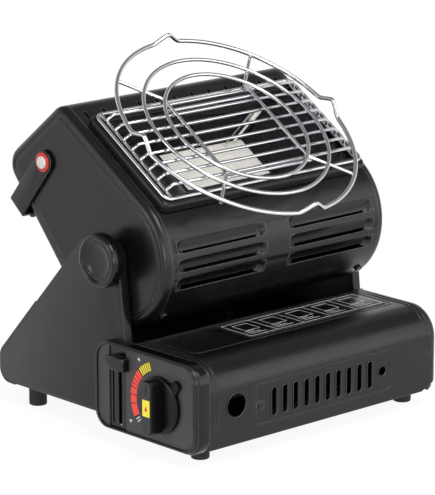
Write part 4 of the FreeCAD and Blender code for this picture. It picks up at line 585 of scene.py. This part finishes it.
def dot_tree():
    """Puts a small round plate, turned as asked, on every point of a mesh."""
    tree, given = new_tree("round_dots", {"Places": "Geometry", "Radius": "Float", "Turn": "Vector",
                                          "Finish": "Material"})
    disc = add(tree, "GeometryNodeMeshCircle", {"Vertices": 8, "Radius": given["Radius"]},
               fill_type="NGON").outputs["Mesh"]
    turn = add(tree, "FunctionNodeEulerToRotation", {"Euler": given["Turn"]}).outputs["Rotation"]
    put_copies(tree, given["Places"], disc, given["Finish"], Rotation=turn)
    return tree


def dots(name, places, radius, turn, finish_name):
    """Small round plates at the given places, all turned the same way."""
    values = {"Radius": radius, "Turn": turn, "Finish": finish(finish_name)}
    return grown(name, places, [], dot_tree(), values)


# Patches and ridges on a surface

# Across a pressed ridge: shares of its half width and of its height
RIDGE_SECTION = ((-0.95, 0.0), (-0.5, 0.8), (0.0, 1.0), (0.5, 0.8), (0.95, 0.0))
RIDGE_SUNK = 0.0003


def ridge(name, path, normals, width, height, fades=None, closed=False):
    """A low rounded ridge pressed along a path in metres; fades scale its height point by point."""
    loops = []
    count = len(path)
    for at in range(count):
        before = path[(at - 1) % count] if closed else path[max(at - 1, 0)]
        after = path[(at + 1) % count] if closed else path[min(at + 1, count - 1)]
        side = (after - before).cross(normals[at]).normalized() * width / 2
        lift = normals[at] * height * (fades[at] if fades else 1.0)
        middle = [path[at] + side * across + lift * up for across, up in RIDGE_SECTION]
        sunk = path[at] - normals[at] * RIDGE_SUNK
        loops.append([sunk - side, *middle, sunk + side])
    return lofted(name, loops, ring=closed)


def flat_shape(name, outline, lift, place):
    """A thin printed patch: an outline in two directions, lifted off its surface."""
    points = [place(a, b, 0.0) for a, b in outline] + [place(a, b, lift) for a, b in outline]
    count = len(outline)
    faces = [tuple(range(count)), tuple(range(count, 2 * count))]
    faces += [(at, (at + 1) % count, count + (at + 1) % count, count + at) for at in range(count)]
    return mesh_object(name, points, faces)


# The head's outline, in (w, n) millimetres

DRUM = 60.0
HEEL = 90.0
HEEL_ANGLE = math.radians(228.3)
BROW, BROW_ROUND = Vector((127.0, DRUM)), 14.0
RUMP, RUMP_ROUND = Vector((157.6, -31.0)), 18.0


def corner_arc(before, corner, after, radius, steps):
    """Points of the arc that rounds a corner between two straight edges."""
    back = (before - corner).normalized()
    ahead = (after - corner).normalized()
    half = back.angle(ahead) / 2
    centre = corner + (back + ahead).normalized() * (radius / math.sin(half))
    start = corner + back * (radius / math.tan(half)) - centre
    end = corner + ahead * (radius / math.tan(half)) - centre
    first = math.atan2(start.y, start.x)
    turn = (math.atan2(end.y, end.x) - first + math.pi) % (2 * math.pi) - math.pi
    return arc(centre, radius, first, first + turn, steps)


def crossing(normal_a, level_a, normal_b, level_b):
    """Where two straight lines meet, each given by its normal and its distance from zero."""
    spin = normal_a.x * normal_b.y - normal_a.y * normal_b.x
    return Vector(((level_a * normal_b.y - level_b * normal_a.y) / spin,
                   (normal_a.x * level_b - normal_b.x * level_a) / spin))


def head_outline(depth):
    """The head's outline moved inwards by depth: drum, heel, rear corner and brow."""
    offset = HEEL - DRUM
    centre = Vector((-offset * math.cos(HEEL_ANGLE), -offset * math.sin(HEEL_ANGLE)))
    away = RUMP - centre
    lean = math.atan2(away.y, away.x) - math.acos(HEEL / away.length)
    outward = Vector((math.cos(lean), math.sin(lean)))
    facet = (RUMP - BROW).normalized()
    facet_out = Vector((-facet.y, facet.x))
    brow_in = crossing(facet_out, facet_out.dot(BROW) - depth, Vector((0, 1)), DRUM - depth)
    rump_in = crossing(facet_out, facet_out.dot(RUMP) - depth, outward, outward.dot(RUMP) - depth)
    toe = centre + outward * (HEEL - depth)
    start = Vector((0.0, DRUM - depth))
    drum = arc((0, 0), DRUM - depth, math.pi / 2, HEEL_ANGLE, 46)
    heel = arc(centre, HEEL - depth, HEEL_ANGLE, lean + 2 * math.pi, 20)
    rear = corner_arc(toe, rump_in, brow_in, RUMP_ROUND - depth, 10)
    top = corner_arc(rump_in, brow_in, start, BROW_ROUND - depth, 8)
    return drum + heel[1:] + rear + top


def head_section(x, depth):
    """The head's outline as places at x millimetres from the heater's middle."""
    return [head_point(x, w, n) for w, n in head_outline(depth)]


# Operators


class PieceOperator:
    """What the heater's operators share."""
    bl_options = {"REGISTER", "UNDO"}

    def execute(self, context):
        self.make(context.scene.heater_sizes)
        return {"FINISHED"}


class HEATER_OT_base(PieceOperator, bpy.types.Operator):
    """Brackets, trays, back cover, feet and the small parts inside the base"""
    bl_idname = "heater.base"
    bl_label = "Base"

    def make(self, sizes):
        dress("coat", "cartridge_tray", "base_pan", "left_bracket", "right_bracket", "back_cover",
              bevel=0.25)
        dress("rubber", "front_feet", "rear_feet")
        dress("zinc", "foot_screws", "lid_hinge_pins", "cartridge_cradle", "lock_plate", "valve_plate",
              "pivot_spacer")
        dress("brass", "gas_valve", "valve_spindle", "banjo_ring")
        dress("alloy", "gas_pipe")
        dress("knob", "piezo_igniter")


# The lid's top and the radius of its round front edge, in the base frame's millimetres
LID_TOP, LID_NOSE = 87.3, 27.0


class HEATER_OT_lid(PieceOperator, bpy.types.Operator):
    """Cartridge lid with its pressed beads, slot rims, frame and label plate"""
    bl_idname = "heater.lid"
    bl_label = "Cartridge lid"

    def make(self, sizes):
        dress("coat", "cartridge_lid", angle=25.0)
        dress("coat", "label_plate", bevel=0.15)
        ends = ((-129.0, 28.0), (-124.5, 31.0), (119.5, 48.0), (124.0, 44.0))
        beads = [self.end_bead(x, lowest, sizes) for x, lowest in ends]
        beads += [self.front_frame(sizes), self.top_crease(sizes), self.dimple()]
        place_piece(join(*beads), "lid", "coat", angle=60.0)
        rims = [self.rim("slot_rims", self.slot_outline(-62.0, 31.0, 55.5, 3.1), 10, 0.01245),
                self.rim("port_rim", self.slot_outline(-104.4, 38.0, 59.0, 10.8)),
                self.rim("peep_rim", self.slot_outline(65.0, 39.1, 48.1, 4.8))]
        place_piece(join(*rims), "lid", "coat", angle=60.0)
        self.label_print()

    def profile(self, lowest):
        """Places and outward normals up the front, round the nose and along the top."""
        nose = Vector((LID_NOSE, LID_TOP - LID_NOSE))
        rise = (nose.y - lowest) / 8
        steps = [(Vector((0.0, lowest + rise * at)), Vector((-1, 0))) for at in range(8)]
        for point in arc((0, 0), 1.0, math.pi, math.pi / 2, 12):
            steps.append((nose + Vector(point) * LID_NOSE, Vector(point)))
        steps += [(Vector((LID_NOSE + 58.0 * at / 8, LID_TOP)), Vector((0, 1))) for at in range(1, 9)]
        return steps

    def end_bead(self, x, lowest, sizes):
        """A bead round the lid near one of its ends, fading out at both of the bead's ends."""
        steps = self.profile(lowest)
        path = [base_point(x, place.x, place.y) for place, heading in steps]
        normals = [Vector((0, heading.x, heading.y)) for place, heading in steps]
        count = len(path)
        fades = [min(1.0, at / 5, (count - 1 - at) / 3) for at in range(count)]
        return ridge("lid_bead", path, normals, 0.0032, sizes.bead_height, fades)

    def front_frame(self, sizes):
        """A bead round the slots, full at its right end and faint elsewhere."""
        corners = rounded_loop(-83.0, 26.0, 76.0, 61.0, 5.0, 6)
        path = [base_point(x, 0.0, z) for x, z in corners]
        normals = [Vector((0, -1, 0))] * len(path)
        fades = [1.0 if x > 70 else 0.45 if z < 40 else 0.25 for x, z in corners]
        return ridge("lid_frame", path, normals, 0.0026, sizes.bead_height, fades, closed=True)

    def top_crease(self, sizes):
        """A lower bead round the lid's top."""
        path = [base_point(x, y, LID_TOP) for x, y in rounded_loop(-118.0, 35.0, 114.0, 86.0, 6.0, 6)]
        normals = [Vector((0, 0, 1))] * len(path)
        return ridge("lid_crease", path, normals, 0.003, 0.7 * sizes.bead_height, closed=True)

    def dimple(self):
        """A small pressed dome beside the slots."""
        profile = [(0.2, 5.6), (-0.3, 5.2), (-1.0, 4.2), (-1.5, 2.8), (-1.7, 1.2), (-1.75, 0.0)]
        return turned("lid_dimple", profile, lambda y, a, b: base_point(-77.0 + a, y, 43.0 + b), 32)

    def slot_outline(self, x, low, high, radius):
        """Outline of an upright slot in the front face."""
        ends = arc((x, high - radius), radius, 0.0, math.pi, 10)
        ends += arc((x, low + radius), radius, math.pi, 2 * math.pi, 10)
        return [base_point(a, -0.1, b) for a, b in ends]

    def rim(self, name, outline, count=1, pitch=0.0):
        """A thin rolled edge round a slot, repeated along the lid."""
        return wires(name, [outline], 0.0006, count=count, step=(pitch, 0, 0), closed=True,
                     finish_name="coat")

    def label_print(self):
        """Printed white border, cells, lines and empty squares on the label plate."""
        lines = []

        def bar(low_x, low_y, high_x, high_y):
            lines.append(block("label_line", (low_x, low_y, 87.75), (high_x, high_y, 87.9), base_point))

        left, right, front, back = -49.0, 107.0, 42.0, 79.0
        half_border, line, cells = 0.275, 0.5, 5
        for y in (front, back):
            bar(left, y - half_border, right, y + half_border)
        for number in range(cells + 1):
            x = left + (right - left) * number / cells
            bar(x - half_border, front, x + half_border, back)
        for number in range(cells):
            start = left + (right - left) * number / cells + 4
            for row in range(3):
                y = front + 5 + 3.4 * row
                bar(start, y, start + 19 - 4 * row, y + line)
            near, far, low, high = start + 3, start + 20, 56.0, 73.5
            bar(near, low, far, low + line)
            bar(near, high - line, far, high)
            bar(near, low, near + line, high)
            bar(far - line, low, far, high)
        place_piece(join(*lines), "lid", "white")


# The gas knob's axis and its printed scale, in the base frame's millimetres
KNOB_Y, KNOB_Z = 43.0, 48.3
DIAL_CENTRE = (45.5, 48.0)
DIAL_FACE = -148.48
PRINT_LIFT = 0.12


def around_knob(x, a, b):
    """A place in the base frame, with a and b measured from the gas knob's axis."""
    return base_point(x, KNOB_Y + a, KNOB_Z + b)


def printed_at(x):
    """Maps (y, z, lift) to a place on the upright face at x, lifted outwards."""
    return lambda y, z, lift: base_point(x - lift, y, z)


class HEATER_OT_bezel(PieceOperator, bpy.types.Operator):
    """Control bezel with its stepped rim, panel, channel and printed dial"""
    bl_idname = "heater.bezel"
    bl_label = "Control bezel"

    def make(self, sizes):
        place_piece(self.rim(), "base", "gloss", ("control_bezel",), angle=40.0)
        place_piece(self.panel(), "base", "panel")
        place_piece(self.channel(), "base", "gloss")
        self.dial()

    def loop(self, across, x, shrink=0.0):
        """A loop of the rim at x: across runs from 0 at its outer edge to 1 at the panel."""
        points = rounded_loop(-5.0 + 9.0 * across + shrink, 12.6 + 3.0 * across + shrink,
                              125.0 - 3.0 * across - shrink, 88.7 - 3.0 * across - shrink,
                              16.0 - 3.0 * across - shrink)
        return [base_point(x, y, z) for y, z in points]

    def rim(self):
        """Glossy rim: a low outer step, two rounded ridges with a groove between, and a closed back."""
        steps = [(0.0, -138.1), (0.0, -147.2), (0.05, -148.0), (0.12, -148.5), (0.22, -148.7),
                 (0.27, -148.7), (0.31, -149.4), (0.36, -150.1), (0.42, -150.45), (0.5, -150.5),
                 (0.58, -150.45), (0.62, -150.0), (0.65, -149.5), (0.70, -149.5), (0.73, -150.0),
                 (0.78, -150.4), (0.84, -150.4), (0.90, -150.0), (0.95, -149.3), (1.0, -148.4),
                 (1.0, -146.2), (0.4, -146.2), (0.4, -138.1)]
        return lofted("bezel_rim", [self.loop(across, x) for across, x in steps], ring=True)

    def panel(self):
        """Flat panel with the channel's gap and the spindle's hole."""
        layers = [self.loop(1.0, -146.3), self.loop(1.0, -148.4), self.loop(1.0, -148.5, 0.1)]
        gap = block("channel_gap", (-150.0, 86.5, 10.0), (-145.0, 108.0, 95.0), base_point)
        bore = turned("spindle_hole", [(-150.0, 6.5), (-145.0, 6.5)], around_knob, 48)
        return cut(lofted("bezel_panel", layers), gap, bore)

    def channel(self):
        """Sunken strip with the lever's two slots, and a black sheet behind them that stands in for the shade
        inside the bezel.
        """
        floor = block("bezel_channel", (-147.4, 86.4, 15.7), (-145.9, 108.1, 85.6), base_point)
        slots = []
        for centre, half in ((95.5, 2.3), (104.0, 1.15)):
            points = rounded_loop(centre - half, 18.0, centre + half, 78.0, half - 0.01, 8)
            ends = [[base_point(x, y, z) for y, z in points] for x in (-150.0, -144.0)]
            slots.append(lofted("slot", ends))
        # A black sheet behind the slots: painted shade inside the bezel's cavity.
        backing = block("slot_shade_sheet", (-139.4, 88.0, 15.5), (-138.6, 121.0, 84.0), base_point)
        return join(cut(floor, *slots), backing)

    def dial(self):
        """Printed scale round the knob: yellow stripes, red steps, two marks and two pointers."""
        backing = self.sector("dial_backing", 27.4, 35.8, 71.0, -31.0, 0.05)
        place_piece(backing, "base", "engraved")
        stripes = [self.sector("dial_yellow", 28.0, 35.4, 70.0 - 4.4 * at, 67.2 - 4.4 * at)
                   for at in range(6)]
        place_piece(join(*stripes), "base", "yellow")
        bounds = [43.0, 33.5, 26.5, 20.0, 14.0, 2.5, -10.5, -30.0]
        steps = [self.sector("dial_red", 27.8, 35.4, high - 0.6, low + 0.6)
                 for high, low in zip(bounds, bounds[1:])]
        place_piece(join(*steps), "base", "red")
        marks = [self.sector("dial_tick", 29.0, 34.0, -33.0, -34.6),
                 self.sector("dial_tick", 29.0, 34.0, -37.5, -39.0),
                 self.pointer(41.0, 53.0), self.pointer(41.5, -32.0)]
        place_piece(join(*marks), "base", "white")

    def sector(self, name, inner, outer, first, last, lift=PRINT_LIFT):
        """A printed patch between two radii and two angles, in degrees, round the dial's middle."""
        steps = max(2, int(abs(last - first) / 2))
        first, last = math.radians(first), math.radians(last)
        outline = arc(DIAL_CENTRE, outer, first, last, steps)
        outline += arc(DIAL_CENTRE, inner, last, first, steps)
        return flat_shape(name, outline, lift, printed_at(DIAL_FACE))

    def pointer(self, radius, angle):
        """A small printed triangle that points at the scale's middle."""
        turn = math.radians(angle)
        out = Vector((math.cos(turn), math.sin(turn)))
        along = Vector((-out.y, out.x))
        tip = Vector(DIAL_CENTRE) + out * radius
        outline = [tip + out * a + along * b for a, b in ((-1.9, 0.0), (1.3, 1.6), (1.3, -1.6))]
        return flat_shape("dial_pointer", outline, PRINT_LIFT, printed_at(DIAL_FACE))


class HEATER_OT_controls(PieceOperator, bpy.types.Operator):
    """Gas knob, lock lever and tilt knobs"""
    bl_idname = "heater.controls"
    bl_label = "Knobs and lever"

    def make(self, sizes):
        self.gas_knob()
        dress("gloss", "lock_lever", bevel=0.5, angle=40.0)
        for side in (-1, 1):
            self.tilt_knob(side)

    def gas_knob(self):
        """Disc, pointed lug and grip, with a lighter grey painted on their lit faces, a pointer line and the
        yellow mark.
        """
        disc = turned("gas_knob_disc", [(-148.8, 23.4), (-149.2, 24.1), (-152.2, 24.1), (-153.0, 23.6),
                                        (-153.4, 22.6), (-153.4, 0.0)], around_knob, 96)
        corners = ((0.5, 0.78), (0.85, 1.04), (0.98, 0.98), (1.08, 0.84), (0.82, 0.45))
        lug = lofted("gas_knob_lug", [[around_knob(x, -24.0 * a, 24.0 * b) for a, b in corners]
                                      for x in (-149.0, -152.6)])
        grip = []
        for x, inset in ((-152.0, 0.0), (-163.6, 0.0), (-164.5, 0.3), (-164.9, 0.9)):
            outline = rounded_loop(36.75 + inset, 25.1 + inset, 49.25 - inset, 71.5 - inset,
                                   4.2 - inset, 8)
            grip.append([base_point(x, y, z) for y, z in outline])
        place_piece(join(disc, lug, lofted("gas_knob_grip", grip)), "gas_knob", "knob",
                    ("gas_knob",), angle=30.0)
        self.knob_faces()
        pointer = block("knob_pointer", (-164.99, 42.5, 59.5), (-164.9, 43.6, 67.5), base_point)
        place_piece(pointer, "gas_knob", "engraved")
        mark = block("mark_plate", (-165.3, 38.7, 41.3), (-164.8, 47.3, 55.3), base_point)
        place_piece(mark, "gas_knob", "yellow", ("knob_mark",))
        flame = flat_shape("mark_drop", self.drop(), 0.08, printed_at(-165.28))
        place_piece(flame, "gas_knob", "drop")

    def knob_faces(self):
        """Lighter satin grey painted on the grip's face and on the half disc beside it: painted light on the black
        knob, while the disc's other half, in the grip's shadow, stays black.
        """
        lit_grip_face = flat_shape("lit_grip_face", rounded_loop(38.2, 26.2, 48.3, 70.4, 3.3, 8), 0.06,
                               printed_at(-164.88))
        beside_grip = 49.6
        edge = arc((KNOB_Y, KNOB_Z), 23.2, math.pi / 2, -math.pi / 2, 40)
        lit_half_disc = [(beside_grip, KNOB_Z + 23.0), *(point for point in edge if point[0] > beside_grip),
                     (beside_grip, KNOB_Z - 23.0)]
        lit_disc_face = flat_shape("lit_disc_face", lit_half_disc, 0.06, printed_at(-153.38))
        place_piece(join(lit_grip_face, lit_disc_face), "gas_knob", "knob_face")

    def drop(self):
        """Outline of the drop on the knob's mark: narrow above, round below."""
        outline = []
        for at in range(32):
            turn = 2 * math.pi * at / 32
            up = math.sin(turn)
            half_width = 1.6 * (1 - 0.75 * max(up, 0.0))
            half_height = 3.0 if up > 0 else 1.8
            outline.append((KNOB_Y + half_width * math.cos(turn), 47.4 + half_height * up))
        return outline

    def tilt_knob(self, side):
        """A turned knob with a dished face; side is -1 for the left one and 1 for the right one."""
        name = ("left" if side < 0 else "right") + "_tilt_knob"
        profile = [(138.4, 15.0), (139.2, 17.5), (140.4, 21.5), (141.6, 22.9), (143.0, 23.2),
                   (148.6, 23.2), (150.4, 22.8), (151.5, 21.8), (152.0, 20.4), (151.9, 19.0),
                   (151.2, 17.8), (149.9, 17.0), (149.7, 16.2), (150.2, 15.4), (150.1, 14.6),
                   (149.4, 12.9), (148.9, 10.5), (148.55, 7.0), (148.4, 3.5), (148.35, 0.0)]

        def around_pivot(x, a, b):
            return base_point(side * x, PIVOT_Y + a, PIVOT_Z + b)

        knob = turned(name + "_skin", profile, around_pivot, 96)
        insert = name.replace("tilt_knob", "knob_insert")
        place_piece(knob, name, "gloss", (name, insert), angle=50.0)


class HEATER_OT_head(PieceOperator, bpy.types.Operator):
    """Head shell with louvres, back panel, end caps and bolts"""
    bl_idname = "heater.head"
    bl_label = "Head"

    def make(self, sizes):
        dress("coat", "head_shell", "back_panel")
        self.louvre_ends()
        for side, name in ((-1, "left_end_cap"), (1, "right_end_cap")):
            self.end_cap(side, name)
        dress("zinc", "heat_shield", "left_tilt_stud", "right_tilt_stud")
        dress("gloss", "head_bolts")
        dress("fibre", "friction_washers")

    def louvre_ends(self):
        """Rounded ends where each louvre's pressed sheet comes back up to the drum."""
        middle_angle, angle_pitch = 147.5, 15.5
        inner_tip, outer_tip = 13.0, 114.0
        ends = []
        for row in (-1, 0, 1):
            angle = math.radians(middle_angle + angle_pitch * row)
            out = Vector((math.cos(angle), math.sin(angle)))
            down = Vector((-out.y, out.x))
            for side in (-1, 1):
                for tip, inward in ((inner_tip, 1), (outer_tip, -1)):
                    ends.append(self.louvre_end(side, tip, inward, out, down))
        place_piece(join(*ends), "head", "coat", angle=50.0)

    def louvre_end(self, side, tip, inward, out, down):
        """A thin sheet from the drum's skin at the tip down to the louvre's floor, further in."""
        half_height, floor, thick = 5.5, 55.8, 0.5
        run, corner_inset, slope_rise = 6.5, 3.4, 3.6
        loops = []
        for at in range(13):
            share = at / 6 - 1
            beside = half_height * share
            skin = math.sqrt(DRUM ** 2 - beside ** 2)
            bottom = floor + max(0.0, -share) * slope_rise
            start = tip + inward * corner_inset * abs(share) ** 3
            top = [(tip, skin)]
            for step in range(9):
                part = step / 8
                eased = part ** 2 * (3 - 2 * part)
                top.append((start + inward * run * part, skin + (bottom - skin) * eased))
            section = top + [(x, radius - thick) for x, radius in reversed(top)]
            loops.append([head_point(side * x, *(out * (radius + 0.03) + down * beside))
                          for x, radius in section])
        return lofted("louvre_end", loops)

    def end_cap(self, side, name):
        """Pressed cap: rounded edge, a groove along it and a flat field, closed towards the head."""
        profile = [(0.0, 120.0), (0.0, 122.4), (0.5, 124.2), (1.6, 125.9), (3.2, 127.2), (5.0, 127.9),
                   (6.4, 128.0), (7.2, 127.7), (7.9, 127.1), (8.6, 127.1), (9.3, 127.7), (10.0, 128.0),
                   (12.0, 128.0), (12.0, 127.0), (1.0, 122.0), (1.0, 120.0)]
        sections = [head_section(side * x, depth) for depth, x in profile]
        edge = lofted(name + "_skin", sections, ring=True)
        field = lofted("field", [head_section(side * x, 11.9) for x in (127.98, 127.0)])
        place_piece(join(edge, field), "head", "coat", (name,), angle=40.0)


class HEATER_OT_burner(PieceOperator, bpy.types.Operator):
    """Burner surround, reflector, plaque and the gas parts under them"""
    bl_idname = "heater.burner"
    bl_label = "Burner"

    def make(self, sizes):
        dress("coat", "burner_surround")
        dress("heated", "reflector")
        dress("ceramic", "ceramic_plaque", bevel=0.4)
        self.flame_holes(sizes)
        dress("zinc", "burner_box", "mixing_tube", "flame_probe", "electrode_bracket")
        dress("alloy", "gas_feed_tube")
        dress("brass", "gas_jet")
        dress("ceramic", "ignition_electrode")

    def flame_holes(self, sizes):
        """Staggered rows of small discs over the plaque, painted darker for the shade inside the flame holes."""
        rows, wide, high = sizes.plaque_holes, 95.0, 46.0
        first_x, first_w, face = -47.5, 23.4, 36.04
        pitch = high / (rows - 1)
        places = []
        for row in range(rows):
            shift = 0.5 * pitch if row % 2 else 0.0
            places.extend(head_point(first_x + shift + pitch * at, first_w + pitch * row, face)
                          for at in range(int(wide / pitch)))
        holes = dots("flame_holes", places, 0.00048, (TILT, 0.0, 0.0), "pit")
        place_piece(holes, "head", "pit")


class HEATER_OT_wires(PieceOperator, bpy.types.Operator):
    """Wire grille and pot support"""
    bl_idname = "heater.wires"
    bl_label = "Grille and pot support"

    def make(self, sizes):
        self.grille(sizes)
        self.pot_support(sizes)

    def grille(self, sizes):
        """Bars with bent ends, the two side wires that carry them and the frame wire."""
        half, level, base_level = 107.5, 77.7, 69.7
        corners = ((-half, 70.0), (-half, level), (half, level), (half, 70.0))
        bar = [head_point(x, -0.5, n) for x, n in corners]
        parts = [wires("grille_bars", [bar], sizes.grille_wire, 0.004, sizes.bar_count,
                       head_step(sizes.bar_pitch * 1000))]
        side = [head_point(-half, w, base_level) for w in (-8.4, 96.4)]
        parts.append(wires("side_wires", [side], sizes.side_wire, count=2, step=(2 * half / 1000, 0, 0)))
        outline = rounded_loop(-113.0, -9.0, 113.0, 97.0, 6.0, 8)
        loop = [head_point(x, w, base_level) for x, w in outline]
        parts.append(wires("frame_wire", [loop], sizes.grille_wire, closed=True))
        place_piece(join(*parts), "head", "chrome", ("grille",), angle=50.0)

    def ring(self, radius, level, kink_rise=0.0):
        """A closed ring round the middle of the plate; raised kinks stand at its four quarters."""
        points = []
        for at in range(360):
            rises = []
            for nearby in range(-12, 13):
                off = abs((at + nearby / 8 + 45) % 90 - 45)
                rises.append(max(0.0, 1.0 - off / 7.0))
            rise = kink_rise * sum(rises) / len(rises)
            angle = math.radians(at)
            points.append(head_point(radius * math.cos(angle), 44.0 + radius * math.sin(angle),
                                     level + rise))
        return points

    def pot_support(self, sizes):
        """Three rings on two long wires with slanting arms, two cross wires and two studs."""
        parts = [wires("outer_ring", [self.ring(109.0, 84.2, 9.4)], sizes.outer_ring_wire, closed=True)]
        for radius in (84.6, 65.5):
            ring = self.ring(radius, 84.0)
            parts.append(wires("small_ring", [ring], sizes.small_ring_wire, closed=True))
        arm_level = 81.1
        corners = ((77.07, -33.07), (47.0, -3.0), (47.0, 91.0), (77.07, 121.07))
        paths = [[head_point(side * x, w, arm_level) for x, w in corners] for side in (-1, 1)]
        parts.append(wires("long_wires", paths, sizes.arm_wire, 0.005))
        cross = [head_point(x, -5.4, 78.4) for x in (-50.0, 50.0)]
        parts.append(wires("cross_wires", [cross], sizes.grille_wire, count=2, step=head_step(84.6)))
        stud = [head_point(-46.5, 90.7, n) for n in (75.2, arm_level)]
        parts.append(wires("studs", [stud], 0.0013, count=2, step=(0.093, 0, 0)))
        place_piece(join(*parts), "pot_support", "chrome", ("pot_support",), angle=50.0)


class HEATER_OT_handle(PieceOperator, bpy.types.Operator):
    """Carrying handle and its pivots"""
    bl_idname = "heater.handle"
    bl_label = "Handle"

    def make(self, sizes):
        dress("coat", "handle_frame", bevel=0.3)
        dress("gloss", "handle_grip")
        dress("zinc", "handle_screws")
        dress("red_nylon", "handle_washers", bevel=0.2)
        profile = [(133.75, 0.0), (133.75, 4.6), (132.55, 4.6), (132.55, 5.3), (133.7, 5.3),
                   (134.2, 4.8), (134.4, 3.8), (134.45, 1.9), (133.9, 1.5), (133.9, 0.0)]
        pivot_w, pivot_n = 113.0, 6.0
        caps = [turned("pivot_cap", profile,
                       lambda x, a, b: head_point(side * x, pivot_w + a, pivot_n + b), 40)
                for side in (-1, 1)]
        place_piece(join(*caps), "head", "white_nylon", ("handle_caps",))


class HEATER_OT_stage(PieceOperator, bpy.types.Operator):
    """Floor, studio lights and the camera"""
    bl_idname = "heater.stage"
    bl_label = "Stage"

    def make(self, sizes):
        self.floor()
        self.lights(bpy.context.scene)
        self.camera(bpy.context.scene)

    def floor(self):
        """White paper sweep under the heater."""
        half = 14.0
        mesh = bpy.data.meshes.new("floor")
        mesh.from_pydata([(-half, -half, 0), (half, -half, 0), (half, half, 0), (-half, half, 0)], [],
                         [(0, 1, 2, 3)])
        floor = linked("floor", mesh)
        material, tree, place = new_material("white_paper")
        fibre = speckle(tree, place, 30.0, 2.0)
        base = shade_between(tree, fibre, linear("f4f4f4"), linear("f8f8f8"))
        paper = add(tree, "ShaderNodeBsdfDiffuse", {"Color": base}).outputs["BSDF"]
        # Far from the heater the paper glows a little more, so it runs into the white background.
        away = add(tree, "ShaderNodeVectorMath", {0: place}, operation="LENGTH").outputs["Value"]
        level = spread(tree, away, 0.8, 2.4, 1.08, 1.2)
        glow = add(tree, "ShaderNodeEmission", {"Strength": level}).outputs["Emission"]
        clean = add(tree, "ShaderNodeMixShader", {0: 0.85, 1: paper, 2: glow}).outputs["Shader"]
        shown = add(tree, "ShaderNodeMixShader", {0: looked_at(tree), 1: paper, 2: clean})
        add(tree, "ShaderNodeOutputMaterial", {"Surface": shown.outputs["Shader"]})
        mesh.materials.append(material)

    def lights(self, scene):
        """Five soft area lights, given by place, size and watts, and a white surround."""
        boxes = [("front_box", (0.5, -2.2, 0.8), (3.6, 2.2), 34.0),
                 ("left_box", (-2.1, 0.2, 1.0), (1.6, 1.8), 4.0),
                 ("left_strip", (-2.3, 0.75, 0.5), (0.3, 0.7), 7.0),
                 ("near_strip", (-2.2, -1.9, 0.42), (0.35, 0.8), 15.0),
                 ("top_box", (-0.3, -1.3, 2.1), (1.2, 1.0), 30.0)]
        aim = Vector((0, 0, 0.12))
        for name, place, size, power in boxes:
            data = bpy.data.lights.new(name, "AREA")
            data.shape = "RECTANGLE"
            data.size, data.size_y = size
            data.energy = power
            lamp = linked(name, data)
            lamp.location = place
            lamp.rotation_euler = (aim - Vector(place)).to_track_quat("-Z", "Y").to_euler()
        scene.world = bpy.data.worlds.new("studio")
        scene.world.use_nodes = True
        tree = scene.world.node_tree
        tree.nodes.clear()
        # The surround is white up to about 20 degrees above the horizon and dim from 37 degrees up.
        heading = add(tree, "ShaderNodeTexCoord").outputs["Generated"]
        height = add(tree, "ShaderNodeSeparateXYZ", {"Vector": heading}).outputs["Z"]
        white = spread(tree, height, 0.35, 0.6, 1.0, 0.3)
        level = spread(tree, looked_at(tree), 0.0, 1.0, 0.3, white)
        glow = add(tree, "ShaderNodeBackground", {"Color": (1, 1, 1, 1), "Strength": level})
        add(tree, "ShaderNodeOutputWorld", {"Surface": glow.outputs["Background"]})

    def camera(self, scene):
        """A long lens at the photograph's viewing angle."""
        focal_px, frame_px = 3182.5, 495
        data = bpy.data.cameras.new("camera")
        data.sensor_width = 36.0
        data.lens = focal_px / frame_px * data.sensor_width
        data.clip_start, data.clip_end = 0.1, 30.0
        camera = linked("camera", data)
        camera.location = base_point(-1800.0, -1823.0, 817.0)
        camera.rotation_euler = (math.radians(90 - 14.32), 0.0, math.radians(-42.57))
        scene.camera = camera
        scene.view_settings.view_transform = "Standard"


class HEATER_PT_panel(bpy.types.Panel):
    """Lists the heater's operators and settings in the sidebar"""
    bl_label = "Portable gas heater"
    bl_space_type = "VIEW_3D"
    bl_region_type = "UI"
    bl_category = "Heater"

    def draw(self, context):
        for operator in OPERATORS:
            self.layout.operator(operator.bl_idname)
        for group in (context.scene.heater_sizes, context.scene.heater_colours):
            for name in group.bl_rna.properties.keys():
                if name not in ("rna_type", "name"):
                    self.layout.prop(group, name)


OPERATORS = (HEATER_OT_base, HEATER_OT_lid, HEATER_OT_bezel, HEATER_OT_controls, HEATER_OT_head,
             HEATER_OT_burner, HEATER_OT_wires, HEATER_OT_handle, HEATER_OT_stage)
CLASSES = (HeaterSizes, HeaterColours, *OPERATORS, HEATER_PT_panel)


def register():
    for made in CLASSES:
        bpy.utils.register_class(made)
    bpy.types.Scene.heater_sizes = PointerProperty(type=HeaterSizes)
    bpy.types.Scene.heater_colours = PointerProperty(type=HeaterColours)


def unregister():
    del bpy.types.Scene.heater_colours
    del bpy.types.Scene.heater_sizes
    for made in reversed(CLASSES):
        bpy.utils.unregister_class(made)


def main():
    register()
    for operator in OPERATORS:
        group, name = operator.bl_idname.split(".")
        getattr(getattr(bpy.ops, group), name)()


if __name__ == "__main__":
    main()
